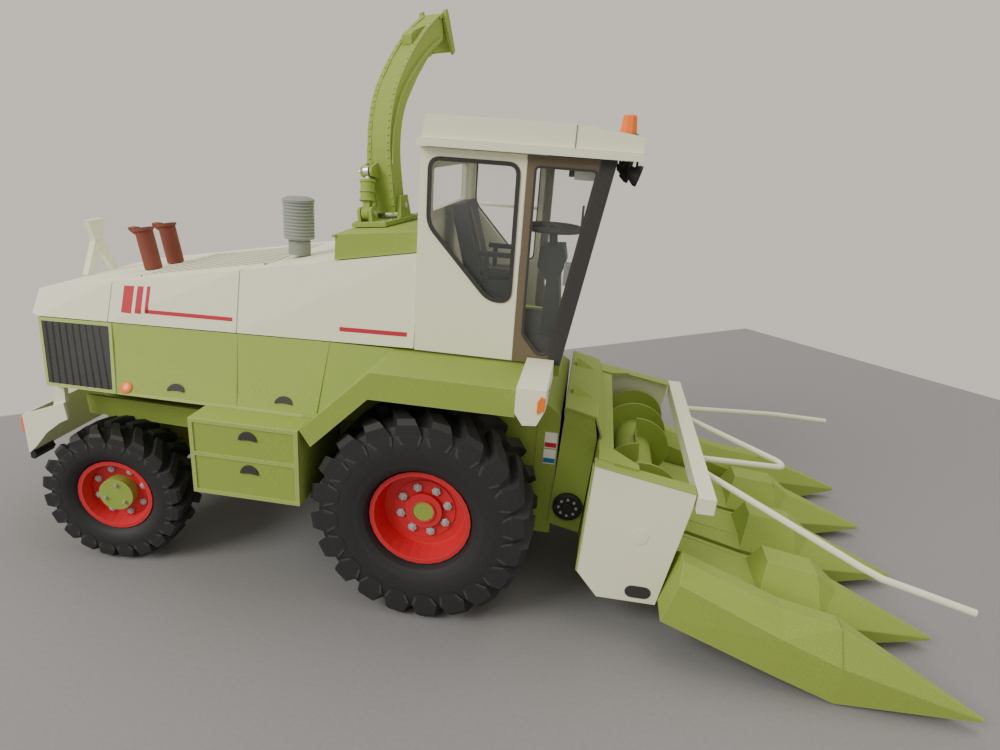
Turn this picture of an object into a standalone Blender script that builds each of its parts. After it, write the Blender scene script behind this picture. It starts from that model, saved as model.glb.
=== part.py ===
"""Card scale model of a self-propelled forage harvester with a four-row maize header.

Axes: +X forward, +Y to the machine's left, +Z up.  Every size below is in millimetres
and becomes metres when a mesh or an empty is made.  Stations along X are measured from
the front axle; the empty "machine" then moves the whole model so that the middle of its
length lies on the world origin, with the ground at Z = 0.
"""
from math import atan2, cos, hypot, radians, sin, tan, tau

import bmesh
import bpy
from mathutils import Matrix, Vector

MM = 0.001
GAP = 0.3                   # card glued or laid against card
RUN = 0.3                   # running clearance of a pin, journal or rod

# ------------------------------------------------------------------ driving dimensions
FRONT_REACH = 146.5         # front axle to the tips of the dividers
REAR_REACH = 130.0          # front axle to the back of the tail
WHEELBASE = 96.8

FRONT_TYRE_R = 31.0
FRONT_TYRE_WIDTH = 23.0
FRONT_WHEEL_Y = 40.5        # middle of the tyre
FRONT_RIM_R = 14.2
REAR_TYRE_R = 21.4
REAR_TYRE_WIDTH = 15.5
REAR_WHEEL_Y = 38.8
REAR_RIM_R = 11.2
KINGPIN_Y = 27.6
STEER_REST = 6.7            # the rear wheels stand slightly turned

SEAM_HALF = 33.0            # half width at the seam between green sides and cream hood
SKIRT_HALF = 44.0           # half width at the lower edge of the green sides
BELLY_HALF = 30.0
BELLY_Z = 48.0
SKIRT_Z = 54.5
TAIL_X = -121.4             # where the straight sides end
SKIRT_TAIL_X = -112.0       # the sides slope in towards the bottom of the tail
SEAM_Z = 71.1               # at TAIL_X
SEAM_RISE = 0.0247
HOOD_HALF = 29.0
HOOD_Z = 78.7               # at TAIL_X
HOOD_RISE = 0.184
HOOD_JOINTS = (-99.0, -59.0)
CAB_REAR_X = -7.0
MID_HALF = 27.7             # body between the front wheels
DECK_Z = 73.6
DECK_THICK = 4.6
DECK_FRONT_X = 33.0
MID_FRONT_X = 0.0

RAIL_Y = 20.0
RAIL_THICK = 3.0
RAIL_Z = 32.0

FENDER_HALF = 53.0
FENDER_Z = 73.3
FENDER_BAND = 7.3
FENDER_FRONT_X = 24.0
FENDER_TOP_REAR_X = -13.0
FENDER_FOOT_X = -31.9
FENDER_FOOT_Z = 55.0
FENDER_INNER = 28.0

BOX_REAR_X = -63.0
BOX_Z = 32.5
BOX_TOP_Z = 54.7

CAB_HALF = 33.0
CAB_Z = 74.0
CAB_TOP_Z = 127.0
CAB_WALL = 1.4
PILLAR_X = 20.0             # joint between the cream panel and the brown door frame
WINDSCREEN_X = 33.0         # foot of the windscreen
WINDSCREEN_TOP_X = 41.8
ROOF_HALF = 36.0
ROOF_Z = 134.9
ROOF_FRONT_Z = 132.9
ROOF_FRONT_X = 48.2
ROOF_BREAK_X = 31.5

SPOUT_X = -24.2             # slewing axis on the turret roof
SPOUT_Z = 103.3
SPOUT_TILT = 7.0            # the turret roof, and the slewing axis, lean back
SPOUT_TURN = 80.0           # the spout points to the left
DUCT_WIDTH = 7.0
DUCT_DEPTH = 7.0
DUCT_FOOT = 3.2
DUCT_STRAIGHT = 15.0
DUCT_BENDS = ((35.0, 48.0), (122.0, 21.0))      # radius and angle of the two arcs
LIFT_PIVOT = (1.0, 5.0)     # spout hinge, along the reach and up, from the slewing axis
JACK_Y = 2.4
JACK_FOOT = (-9.5, 3.8)
JACK_HEAD = (-6.5, 15.5)
FLAP_LENGTH = 12.0
FLAP_HANG = 72.0            # the flap hangs this far below level

FEEDER_PIVOT_X = 8.0        # the header and its feeder lift about this shaft
FEEDER_PIVOT_Z = 42.0
HEADER_HALF = 44.2          # over the side plates
PLATE_THICK = 1.2
AUGER_X = 59.5
AUGER_Z = 32.0
AUGER_R = 12.4
AUGER_TUBE_R = 6.0
ROW_PITCH = 30.0            # between divider tips
ROW_PITCH_REAR = 24.0       # between dividers at the trough
DIVIDER_REAR_X = 66.8
DIVIDER_NOSE_X = 112.0
SLOT = 2.2


def seam_z(x):
    return SEAM_Z + (x - TAIL_X) * SEAM_RISE


def hood_z(x):
    return HOOD_Z + (x - TAIL_X) * HOOD_RISE


def turret_z(x):
    return SPOUT_Z + (x - SPOUT_X) * tan(radians(SPOUT_TILT))


def windscreen_x(z):
    """Outer face of the windscreen, which leans forward with height."""
    share = (z - CAB_Z) / (CAB_TOP_Z - CAB_Z)
    return WINDSCREEN_X + share * (WINDSCREEN_TOP_X - WINDSCREEN_X)


# ------------------------------------------------------------------ making things
for old in list(bpy.data.objects):
    bpy.data.objects.remove(old, do_unlink=True)


def material(name, colour, roughness, metallic=0.0, alpha=1.0):
    made = bpy.data.materials.new(name)
    made.use_nodes = True
    shader = made.node_tree.nodes["Principled BSDF"]
    shader.inputs["Base Color"].default_value = (*colour, 1.0)
    shader.inputs["Roughness"].default_value = roughness
    shader.inputs["Metallic"].default_value = metallic
    shader.inputs["Alpha"].default_value = alpha
    return made


GREEN = material("green_card", (0.30, 0.36, 0.05), 0.75)
CREAM = material("cream_card", (0.80, 0.78, 0.62), 0.75)
BROWN = material("brown_card", (0.16, 0.13, 0.10), 0.75)
DARK = material("dark_card", (0.035, 0.035, 0.035), 0.7)
TYRE = material("tyre_card", (0.02, 0.02, 0.022), 0.8)
RED = material("red_card", (0.62, 0.03, 0.04), 0.6)
RUST = material("exhaust_card", (0.22, 0.06, 0.04), 0.75)
GREY = material("grey_card", (0.28, 0.30, 0.28), 0.7)
FILM = material("window_film", (0.85, 0.88, 0.88), 0.08, alpha=0.2)
ORANGE = material("orange_lamp", (0.85, 0.22, 0.02), 0.3)


def empty(name, at=(0, 0, 0), parent=None, turn=None):
    pivot = bpy.data.objects.new(name, None)
    bpy.context.scene.collection.objects.link(pivot)
    pivot.parent = parent
    pivot.location = Vector(at) * MM
    if turn is not None:
        pivot.rotation_euler = turn
    return pivot


machine = empty("machine", ((REAR_REACH - FRONT_REACH) / 2, 0, 0))


def solid(name, points, faces, stuff, parent=machine, origin=(0, 0, 0)):
    """One closed mesh; origin is where the parent's pivot lies in the points' frame."""
    mesh = bpy.data.meshes.new(name)
    shift = Vector(origin)
    mesh.from_pydata([(Vector(p) - shift) * MM for p in points], [], faces)
    work = bmesh.new()
    work.from_mesh(mesh)
    bmesh.ops.recalc_face_normals(work, faces=work.faces)
    work.to_mesh(mesh)
    work.free()
    mesh.materials.append(stuff)
    thing = bpy.data.objects.new(name, mesh)
    bpy.context.scene.collection.objects.link(thing)
    thing.parent = parent
    return thing


def loft(name, rings, stuff, **where):
    """A closed skin over rings of equally many points, with a flat cap at each end."""
    count = len(rings[0])
    points = [p for ring in rings for p in ring]
    faces = [list(range(count)), list(range(len(points) - count, len(points)))]
    for r in range(len(rings) - 1):
        for i in range(count):
            j = (i + 1) % count
            faces.append([r * count + i, r * count + j, (r + 1) * count + j, (r + 1) * count + i])
    return solid(name, points, faces, stuff, **where)


def prism(name, outline, axis, low, high, stuff, **where):
    """An outline drawn in the two other axes, in X, Y, Z order, run along one axis."""
    def at(pair, along):
        spot = list(pair)
        spot.insert("xyz".index(axis), along)
        return spot
    return loft(name, [[at(p, low) for p in outline], [at(p, high) for p in outline]], stuff, **where)


def box(name, low, high, stuff, **where):
    corners = ((low[0], low[1]), (high[0], low[1]), (high[0], high[1]), (low[0], high[1]))
    return prism(name, corners, "z", low[2], high[2], stuff, **where)


def turned(name, profile, stuff, centre=(0, 0, 0), axis="y", segments=28, **where):
    """A profile of (radius, along) turned about an axis; radius 0 at both ends or a ring."""
    points = []
    rings = []
    for radius, along in profile:
        rings.append(len(points))
        count = 1 if radius == 0 else segments
        for i in range(count):
            across = (radius * cos(tau * i / segments), radius * sin(tau * i / segments))
            spot = {"x": (along, *across), "y": (across[0], along, across[1]), "z": (*across, along)}[axis]
            points.append(Vector(centre) + Vector(spot))
    faces = []
    closed = profile[0][0] > 0
    for k in range(len(profile) - (0 if closed else 1)):
        a, b = k, (k + 1) % len(profile)
        for i in range(segments):
            j = (i + 1) % segments
            first = [rings[a]] if profile[a][0] == 0 else [rings[a] + i, rings[a] + j]
            second = [rings[b]] if profile[b][0] == 0 else [rings[b] + j, rings[b] + i]
            faces.append(first + second)
    thing = solid(name, points, faces, stuff, **where)
    smooth(thing)
    return thing


def smooth(thing, degrees_limit=35.0):
    thing.data.shade_smooth()
    thing.data.set_sharp_from_angle(angle=radians(degrees_limit))


def rod(name, path, radius, stuff, sides=10, **where):
    """A round bar along a path of points, mitred at its bends."""
    path = [Vector(p) for p in path]
    rings = []
    across = None
    for i, spot in enumerate(path):
        into = (spot - path[max(i - 1, 0)]).normalized() if i else (path[1] - spot).normalized()
        out = (path[i + 1] - spot).normalized() if i < len(path) - 1 else into
        along = (into + out).normalized()
        if across is None:
            across = into.orthogonal().normalized()
        across = (across - into * across.dot(into)).normalized()
        other = into.cross(across)
        ring = []
        for k in range(sides):
            offset = across * cos(tau * k / sides) + other * sin(tau * k / sides)
            offset = offset * radius
            offset -= into * (offset.dot(along) / into.dot(along))
            ring.append(spot + offset)
        rings.append(ring)
        across = (across - out * across.dot(out)).normalized()
    thing = loft(name, rings, stuff, **where)
    smooth(thing)
    return thing


def merge(target, operation, *others):
    """Join other pieces to a piece, or cut them out of it."""
    for other in others:
        step = target.modifiers.new(other.name, "BOOLEAN")
        step.operation = operation
        step.solver = "EXACT"
        step.object = other
        other.hide_render = True
        other.display_type = "WIRE"


def weld(target, *others):
    merge(target, "UNION", *others)


def cut(target, *others):
    merge(target, "DIFFERENCE", *others)


def rounded(outline, radius, steps=3):
    """The outline with each corner replaced by a short arc."""
    result = []
    count = len(outline)
    for i, corner in enumerate(outline):
        corner = Vector(corner)
        before = (Vector(outline[i - 1]) - corner).normalized()
        after = (Vector(outline[(i + 1) % count]) - corner).normalized()
        half = before.angle(after) / 2
        reach = radius / tan(half)
        centre = corner + (before + after).normalized() * (radius / sin(half))
        start = corner + before * reach - centre
        end = corner + after * reach - centre
        for k in range(steps + 1):
            mix = start.slerp(end, k / steps)
            result.append(tuple(centre + mix))
    return result


SIDES = (("r", -1), ("l", 1))

# ------------------------------------------------------------------ chassis and axles
RAIL_REAR_X = -111.2
rail_side = [
    (RAIL_REAR_X, RAIL_Z), (-20, RAIL_Z), (-12, 36.6), (11, 36.6),
    (11, 46.5), (4, 46.5), (MID_FRONT_X, BELLY_Z - GAP), (RAIL_REAR_X, BELLY_Z - GAP),
]
chassis = prism("chassis", rail_side, "y", RAIL_Y, RAIL_Y + RAIL_THICK, GREEN)
weld(chassis, prism("rail_r", rail_side, "y", -RAIL_Y - RAIL_THICK, -RAIL_Y, GREEN))
for number, (rear, front) in enumerate(((-110, -106), (-99.5, -94.0), (-62, -58), (-12, -8))):
    weld(chassis, box(f"cross_{number}", (rear, -RAIL_Y - 1, 38.5 if rear == -12 else RAIL_Z),
                      (front, RAIL_Y + 1, 46), GREEN))
weld(chassis, turned("feeder_shaft", [(0, -RAIL_Y - 1), (2, -RAIL_Y - 1), (2, RAIL_Y + 1), (0, RAIL_Y + 1)],
                     GREEN, centre=(FEEDER_PIVOT_X, 0, FEEDER_PIVOT_Z), segments=20))

STUB_R = 2.3
FRONT_STUB_Y = FRONT_WHEEL_Y + 3.0
front_half = [(STUB_R, FRONT_STUB_Y), (STUB_R, 28.0), (8.6, 28.0), (8.6, 24.0), (5.2, 24.0)]
front_profile = [(0, FRONT_STUB_Y)] + front_half
front_profile += [(r, -y) for r, y in reversed(front_half)] + [(0, -FRONT_STUB_Y)]
turned("front_axle", front_profile, GREEN, centre=(0, 0, FRONT_TYRE_R))

EAR_HALF = 3.2              # half the length of the knuckle yokes along X
EAR_IN = 4.1                # inner faces of the yoke's ears above and below the axle
EAR_OUT = 6.0
rear_axle = box("rear_axle", (-WHEELBASE - 3, -22, REAR_TYRE_R - 3.5),
                (-WHEELBASE + 3, 22, REAR_TYRE_R + 3.5), GREEN)
weld(rear_axle, box("axle_saddle", (-WHEELBASE - 2.6, -6, REAR_TYRE_R + 3),
                    (-WHEELBASE + 2.6, 6, RAIL_Z - GAP), GREEN))
for side, sign in SIDES:
    yoke = [(21, -EAR_OUT), (30, -EAR_OUT), (30, -EAR_IN), (24.6, -EAR_IN),
            (24.6, EAR_IN), (30, EAR_IN), (30, EAR_OUT), (21, EAR_OUT)]
    weld(rear_axle, prism(f"yoke_{side}", [(sign * y, REAR_TYRE_R + z) for y, z in yoke], "x",
                          -WHEELBASE - EAR_HALF, -WHEELBASE + EAR_HALF, GREEN))


# ------------------------------------------------------------------ wheels
def tyre_ring(name, radius, rim, width, parent):
    half = width / 2
    crown = [
        (rim + GAP, half * 0.72), (rim + 2.0, half * 0.96), (radius * 0.80, half), (radius - 2.2, half * 0.98),
        (radius, half * 0.86), (radius, 0.0),
    ]
    profile = crown + [(r, -y) for r, y in reversed(crown[:-1])]
    return turned(name, profile, TYRE, parent=parent, segments=36)


def rim_dish(name, rim, width, bore, stub_in, hub_out, sign, parent):
    """A turned rim, open towards the machine, with a blind bore for the axle stub."""
    half = width / 2
    profile = [
        (rim, half * 0.74), (rim, -half * 0.72), (rim - 1.2, -half * 0.72), (rim - 1.6, half * 0.10),
        (bore + 1.6, half * 0.10), (bore + 1.6, stub_in), (bore, stub_in), (bore, hub_out - 0.9),
        (0, hub_out - 0.9), (0, hub_out), (bore + 2.6, hub_out), (bore + 2.6, half * 0.10 + 1.2),
        (rim - 2.6, half * 0.10 + 1.2), (rim - 1.2, half * 0.74),
    ]
    ends = [(r, sign * y) for r, y in profile]
    return turned(name, ends[9:] + ends[:9], RED, parent=parent, segments=28)


for side, sign in SIDES:
    hub = empty(f"front_hub_{side}", (0, sign * FRONT_WHEEL_Y, FRONT_TYRE_R), machine)
    tyre_ring(f"front_tyre_{side}", FRONT_TYRE_R, FRONT_RIM_R, FRONT_TYRE_WIDTH, hub)
    stub_end = FRONT_STUB_Y - FRONT_WHEEL_Y
    rim_dish(f"front_rim_{side}", FRONT_RIM_R, FRONT_TYRE_WIDTH, STUB_R + RUN, -9.0,
             stub_end + RUN + 0.9, sign, hub)

KNUCKLE_STUB_R = 1.8
for side, sign in SIDES:
    kingpin = empty(f"kingpin_{side}", (-WHEELBASE, sign * KINGPIN_Y, REAR_TYRE_R), machine,
                    (0, 0, radians(STEER_REST)))
    reach = sign * (REAR_WHEEL_Y - KINGPIN_Y)
    ear = EAR_IN - RUN
    knuckle = turned(f"knuckle_{side}", [(0, -ear), (2.3, -ear), (2.3, ear), (0, ear)], GREEN,
                     axis="z", segments=20, parent=kingpin)
    stub = [(0, 0), (KNUCKLE_STUB_R, 0), (KNUCKLE_STUB_R, reach + sign * 1.5), (0, reach + sign * 1.5)]
    weld(knuckle, turned(f"stub_{side}", stub, GREEN, segments=20, parent=kingpin))
    hub = empty(f"rear_hub_{side}", (0, reach, 0), kingpin)
    tyre_ring(f"rear_tyre_{side}", REAR_TYRE_R, REAR_RIM_R, REAR_TYRE_WIDTH, hub)
    rim_dish(f"rear_rim_{side}", REAR_RIM_R, REAR_TYRE_WIDTH, KNUCKLE_STUB_R + RUN, -5.4,
             1.5 + RUN + 2.4, sign, hub)


# ------------------------------------------------------------------ lower body and hood
def body_ring(x_belly, x_seam):
    z = seam_z(x_seam)
    half = [(x_belly, BELLY_HALF, BELLY_Z), (x_belly, SKIRT_HALF, SKIRT_Z), (x_seam, SEAM_HALF, z)]
    return half + [(x, -y, h) for x, y, h in reversed(half)]


body_front = FENDER_FOOT_X - 1.4
lower_body = loft("lower_body", [body_ring(SKIRT_TAIL_X, TAIL_X), body_ring(body_front, body_front)], GREEN)
weld(lower_body, box("body_middle", (body_front - 1, -MID_HALF, BELLY_Z + 0.01),
                     (MID_FRONT_X, MID_HALF, seam_z(body_front)), GREEN))
weld(lower_body, box("cab_deck", (CAB_REAR_X - 0.5, -MID_HALF, DECK_Z - DECK_THICK),
                     (DECK_FRONT_X, MID_HALF, DECK_Z), GREEN))


def hood_ring(x, edge=SEAM_HALF, shoulder=HOOD_HALF, lift=0.0, drop=0.0):
    low = seam_z(x) + GAP + lift
    high = hood_z(x) - drop
    return [(x, -edge, low), (x, -shoulder, high), (x, shoulder, high), (x, edge, low)]


tail = -REAR_REACH
tail_rings = [
    hood_ring(tail, 19, 16, 1.8, 2.4), hood_ring(tail + 1.2, 23, 20, 0.6, 0.9),
    hood_ring(TAIL_X - 4.0, 30.5, 26.5), hood_ring(TAIL_X), hood_ring(HOOD_JOINTS[0] - GAP / 2),
]
loft("hood_rear", tail_rings, CREAM)
loft("hood_middle", [hood_ring(HOOD_JOINTS[0] + GAP / 2), hood_ring(HOOD_JOINTS[1] - GAP / 2)], CREAM)
loft("hood_front", [hood_ring(HOOD_JOINTS[1] + GAP / 2), hood_ring(CAB_REAR_X - GAP)], CREAM)

TURRET_REAR_X = -31.5
TURRET_FOOT_HALF = 28.0
TURRET_TOP_HALF = 27.3


def turret_ring(x):
    low = hood_z(x) + GAP
    high = turret_z(x)
    return [(x, -TURRET_FOOT_HALF, low), (x, -TURRET_TOP_HALF, high),
            (x, TURRET_TOP_HALF, high), (x, TURRET_FOOT_HALF, low)]


loft("turret", [turret_ring(TURRET_REAR_X), turret_ring(CAB_REAR_X - GAP)], GREEN)

# ------------------------------------------------------------------ fenders, boxes, bumper
band_side = [
    (FENDER_FOOT_X, FENDER_FOOT_Z), (FENDER_TOP_REAR_X, FENDER_Z), (FENDER_FRONT_X, FENDER_Z),
    (FENDER_FRONT_X, FENDER_Z - FENDER_BAND), (FENDER_TOP_REAR_X - 0.5, FENDER_Z - FENDER_BAND),
    (FENDER_FOOT_X + 2.9, FENDER_FOOT_Z - 4.4),
]
for side, sign in SIDES:
    fender = prism(f"fender_{side}", band_side, "y", sign * FENDER_INNER, sign * FENDER_HALF, GREEN)
    foot = FENDER_FOOT_X - 1.1
    top = seam_z(foot)
    wedge = [
        [(foot, sign * FENDER_INNER, FENDER_FOOT_Z - 1), (foot, sign * SKIRT_HALF, FENDER_FOOT_Z - 1),
         (foot, sign * SEAM_HALF, top), (foot, sign * FENDER_INNER, top)],
        [(FENDER_TOP_REAR_X, sign * FENDER_INNER, FENDER_Z - 1.2), (FENDER_TOP_REAR_X, sign * SEAM_HALF, FENDER_Z - 1.2),
         (FENDER_TOP_REAR_X, sign * (SEAM_HALF - 0.4), FENDER_Z), (FENDER_TOP_REAR_X, sign * FENDER_INNER, FENDER_Z)],
    ]
    weld(fender, loft(f"fender_wedge_{side}", wedge, GREEN))

    inner = RAIL_Y + RAIL_THICK + GAP
    slope = (SKIRT_Z - BELLY_Z) / (SKIRT_HALF - BELLY_HALF)
    outline = [
        (inner, BOX_Z), (FENDER_HALF, BOX_Z), (FENDER_HALF, BOX_TOP_Z), (SKIRT_HALF + 0.5, BOX_TOP_Z),
        (SKIRT_HALF + 0.5, SKIRT_Z - 0.4), (BELLY_HALF, BELLY_Z - 0.4), (inner, BELLY_Z - 0.4),
    ]
    prism(f"storage_box_{side}", [(sign * y, z) for y, z in outline], "x",
          BOX_REAR_X, FENDER_FOOT_X - 0.4, GREEN)

bumper_side = [(-126.3, 40.0), (-111.8, 47.6), (-111.6, 40.5), (-127.2, 27.6)]
prism("rear_bumper", bumper_side, "y", -46, 46, CREAM)

LAMP_BOX_FRONT_X = 31.6
for side, sign in SIDES:
    face = [(24.3, 62.0), (28.6, 61.0), (LAMP_BOX_FRONT_X, 70.0), (LAMP_BOX_FRONT_X, 75.5), (24.3, 75.5)]
    prism(f"light_box_{side}", face, "y", sign * (CAB_HALF + 0.5 if sign < 0 else 44.0), sign * 57.5, CREAM)

ladder = box("ladder", (FENDER_FRONT_X + GAP, CAB_HALF + 0.5, 71.0), (37.5, 43.7, FENDER_Z), GREEN)
for number, y in enumerate((CAB_HALF + 0.5, 42.7)):
    weld(ladder, box(f"stringer_{number}", (34.5, y, 36), (37.5, y + 1, 72), GREEN))
for number, z in enumerate((36, 47, 58)):
    weld(ladder, box(f"tread_{number}", (34.5, CAB_HALF + 1, z), (37.5, 43.2, z + 1), GREEN))

RAIL_TOP_Z = 106.5
rail_y = 50.5
rail_ends = (FENDER_TOP_REAR_X + 1.5, 19.0)
rail_path = [(rail_ends[0], rail_y, FENDER_Z + GAP), (rail_ends[0], rail_y, RAIL_TOP_Z - 2),
             (rail_ends[0] + 2, rail_y, RAIL_TOP_Z), (rail_ends[1] - 2, rail_y, RAIL_TOP_Z),
             (rail_ends[1], rail_y, RAIL_TOP_Z - 2), (rail_ends[1], rail_y, FENDER_Z + GAP)]
rod("handrail", rail_path, 0.7, CREAM)

# ------------------------------------------------------------------ cab
PANE = 0.4                  # window film behind the frames
FRAME = 2.2


def door_edge(z, inset=0.0):
    return windscreen_x(z) - CAB_WALL - GAP - inset


rear_panel = [(CAB_REAR_X, CAB_Z), (PILLAR_X - GAP / 2, CAB_Z),
              (PILLAR_X - GAP / 2, CAB_TOP_Z), (CAB_REAR_X, CAB_TOP_Z)]
rear_window = rounded([(-4.4, 124.2), (-4.4, 108.6), (12.4, 89.4), (17.4, 89.4), (17.4, 124.2)], 2.4)
door_panel = [(PILLAR_X + GAP / 2, CAB_Z), (door_edge(CAB_Z), CAB_Z),
              (door_edge(CAB_TOP_Z), CAB_TOP_Z), (PILLAR_X + GAP / 2, CAB_TOP_Z)]
door_window = rounded([
    (PILLAR_X + 2.3, 124.4), (PILLAR_X + 2.3, 81.5), (PILLAR_X + 6.6, 76.4),
    (door_edge(76.4, FRAME), 76.4), (door_edge(124.4, FRAME), 124.4)], 1.2)
film = [(CAB_REAR_X + 2.0, CAB_Z + 1), (door_edge(CAB_Z + 1, 0.6), CAB_Z + 1),
        (door_edge(CAB_TOP_Z - 1, 0.6), CAB_TOP_Z - 1), (CAB_REAR_X + 2.0, CAB_TOP_Z - 1)]
for side, sign in SIDES:
    faces = (sign * (CAB_HALF - CAB_WALL), sign * CAB_HALF)
    through = (sign * (CAB_HALF - 3), sign * (CAB_HALF + 1))
    panel = prism(f"cab_side_{side}", rear_panel, "y", *faces, CREAM)
    cut(panel, prism(f"side_opening_{side}", rear_window, "y", *through, DARK))
    frame = prism(f"door_frame_{side}", door_panel, "y", *faces, BROWN)
    cut(frame, prism(f"door_opening_{side}", door_window, "y", *through, DARK))
    inner = CAB_HALF - CAB_WALL - GAP
    prism(f"side_glass_{side}", film, "y", sign * (inner - PANE), sign * inner, FILM)

wall_half = CAB_HALF - CAB_WALL - GAP - PANE - GAP
rear_wall = box("cab_rear_wall", (CAB_REAR_X, -wall_half, CAB_Z), (CAB_REAR_X + CAB_WALL, wall_half, CAB_TOP_Z), CREAM)
cut(rear_wall, prism("rear_opening", rounded([(-24, 109), (24, 109), (24, 123), (-24, 123)], 2.4), "x",
                     CAB_REAR_X - 1, CAB_REAR_X + 3, DARK))


def leaning(name, outline, back, front, stuff):
    """A plate of (y, z) points parallel to the windscreen, set back from its outer face."""
    return loft(name, [[(windscreen_x(z) - back, y, z) for y, z in outline],
                       [(windscreen_x(z) - front, y, z) for y, z in outline]], stuff)


def rectangle(half, low, high):
    return [(-half, low), (half, low), (half, high), (-half, high)]


screen = leaning("windscreen_frame", rectangle(CAB_HALF, CAB_Z, CAB_TOP_Z), CAB_WALL, 0, BROWN)
cut(screen, leaning("screen_opening", rectangle(CAB_HALF - FRAME, CAB_Z + 3, CAB_TOP_Z - 2), 4, -2, DARK))
leaning("windscreen_glass", rectangle(CAB_HALF - 2.6, CAB_Z + 1, CAB_TOP_Z - 1),
        CAB_WALL + GAP + PANE, CAB_WALL + GAP, FILM)

LIP_Z = 129.2
roof_side = [(CAB_REAR_X - 0.3, CAB_TOP_Z + GAP), (47.8, CAB_TOP_Z + GAP), (ROOF_FRONT_X, LIP_Z), (CAB_REAR_X - 0.3, LIP_Z)]
roof = prism("cab_roof", roof_side, "y", -ROOF_HALF, ROOF_HALF, CREAM)
top_half = ROOF_HALF - 1.2
roof_top = [(CAB_REAR_X + 0.6, LIP_Z - 0.5), (ROOF_FRONT_X - 0.6, LIP_Z - 0.5), (ROOF_FRONT_X - 0.2, ROOF_FRONT_Z),
            (ROOF_BREAK_X, ROOF_Z), (CAB_REAR_X + 1.8, ROOF_Z)]
weld(roof, prism("roof_top", roof_top, "y", -top_half, top_half, CREAM))

seat_side = [
    (3, DECK_Z + GAP), (14, DECK_Z + GAP), (14, 85), (18, 86.5), (18, 91), (6.5, 90), (0.5, 112), (-3.6, 111),
    (2.2, 89), (3, 85),
]
prism("seat", seat_side, "y", -9, 9, DARK)
column = prism("steering_column", [(25, DECK_Z + GAP), (31, DECK_Z + GAP), (29.5, 92), (31, 97), (30, 101.5),
                                   (23, 101), (22.5, 95), (25.5, 91)], "y", -5, 5, DARK)
STEER_X = 26.0
STEER_R = 8.2
WHEEL_Z = 106.0
weld(column, rod("column_tube", [(26.6, 0, 100), (STEER_X, 0, WHEEL_Z)], 1.3, DARK))
ring = [(STEER_R + 0.9 * cos(a), WHEEL_Z + 0.9 * sin(a)) for a in (tau * k / 8 for k in range(8))]
weld(column, turned("steering_wheel", ring, DARK, centre=(STEER_X, 0, 0), axis="z"))
for number in range(3):
    a = tau * number / 3
    spoke = [(STEER_X + r * cos(a), r * sin(a), WHEEL_Z) for r in (0.3, STEER_R)]
    weld(column, rod(f"spoke_{number}", spoke, 0.6, DARK, sides=6))

BEACON_X = 43.0
BEACON_Y = -18.0
beacon_foot = ROOF_FRONT_Z + (ROOF_FRONT_X - BEACON_X) * (ROOF_Z - ROOF_FRONT_Z) / (ROOF_FRONT_X - ROOF_BREAK_X) + 0.7
turned("beacon", [(0, beacon_foot), (2.8, beacon_foot), (2.8, beacon_foot + 1.2), (2.4, beacon_foot + 1.4),
                  (2.1, beacon_foot + 5.0), (0, beacon_foot + 5.4)], ORANGE,
       centre=(BEACON_X, BEACON_Y, 0), axis="z", segments=24)

# ------------------------------------------------------------------ on the hood
EXHAUST_X = -101.4
EXHAUST_Y = 6.0
EXHAUST_R = 2.7
EXHAUST_LENGTH = 13.0
hood_tilt = atan2(HOOD_RISE, 1)
for side, sign in SIDES:
    foot = empty(f"exhaust_foot_{side}", (EXHAUST_X, sign * EXHAUST_Y, hood_z(EXHAUST_X) + GAP), machine,
                 (0, -hood_tilt, 0))
    turned(f"exhaust_{side}", [(0, 0), (EXHAUST_R, 0), (EXHAUST_R, EXHAUST_LENGTH - 0.5),
                               (EXHAUST_R + 0.4, EXHAUST_LENGTH), (EXHAUST_R - 0.4, EXHAUST_LENGTH),
                               (EXHAUST_R - 0.6, EXHAUST_LENGTH - 4), (0, EXHAUST_LENGTH - 4)], RUST,
           axis="z", segments=24, parent=foot)

CLEANER_X = -49.6
CLEANER_Y = -10.0
base = hood_z(CLEANER_X + 2.9) + GAP
turned("pre_cleaner", [(0, base), (2.9, base), (2.9, base + 2.2), (4.9, base + 2.6), (4.9, base + 14.0),
                       (4.4, base + 15.4), (2.6, base + 16.6), (0, base + 17.0)], GREY,
       centre=(CLEANER_X, CLEANER_Y, 0), axis="z", segments=28)

REST_X = -125.4
rest_foot = hood_z(REST_X + 1) + GAP
rest = [(-7.2, rest_foot), (-1.7, 89.2), (-3.8, 95.7), (3.8, 95.7), (1.7, 89.2), (7.2, rest_foot),
        (4.8, rest_foot), (0, 86.6), (-4.8, rest_foot)]
prism("spout_rest", rest, "x", REST_X - 1, REST_X + 1, CREAM)

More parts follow.
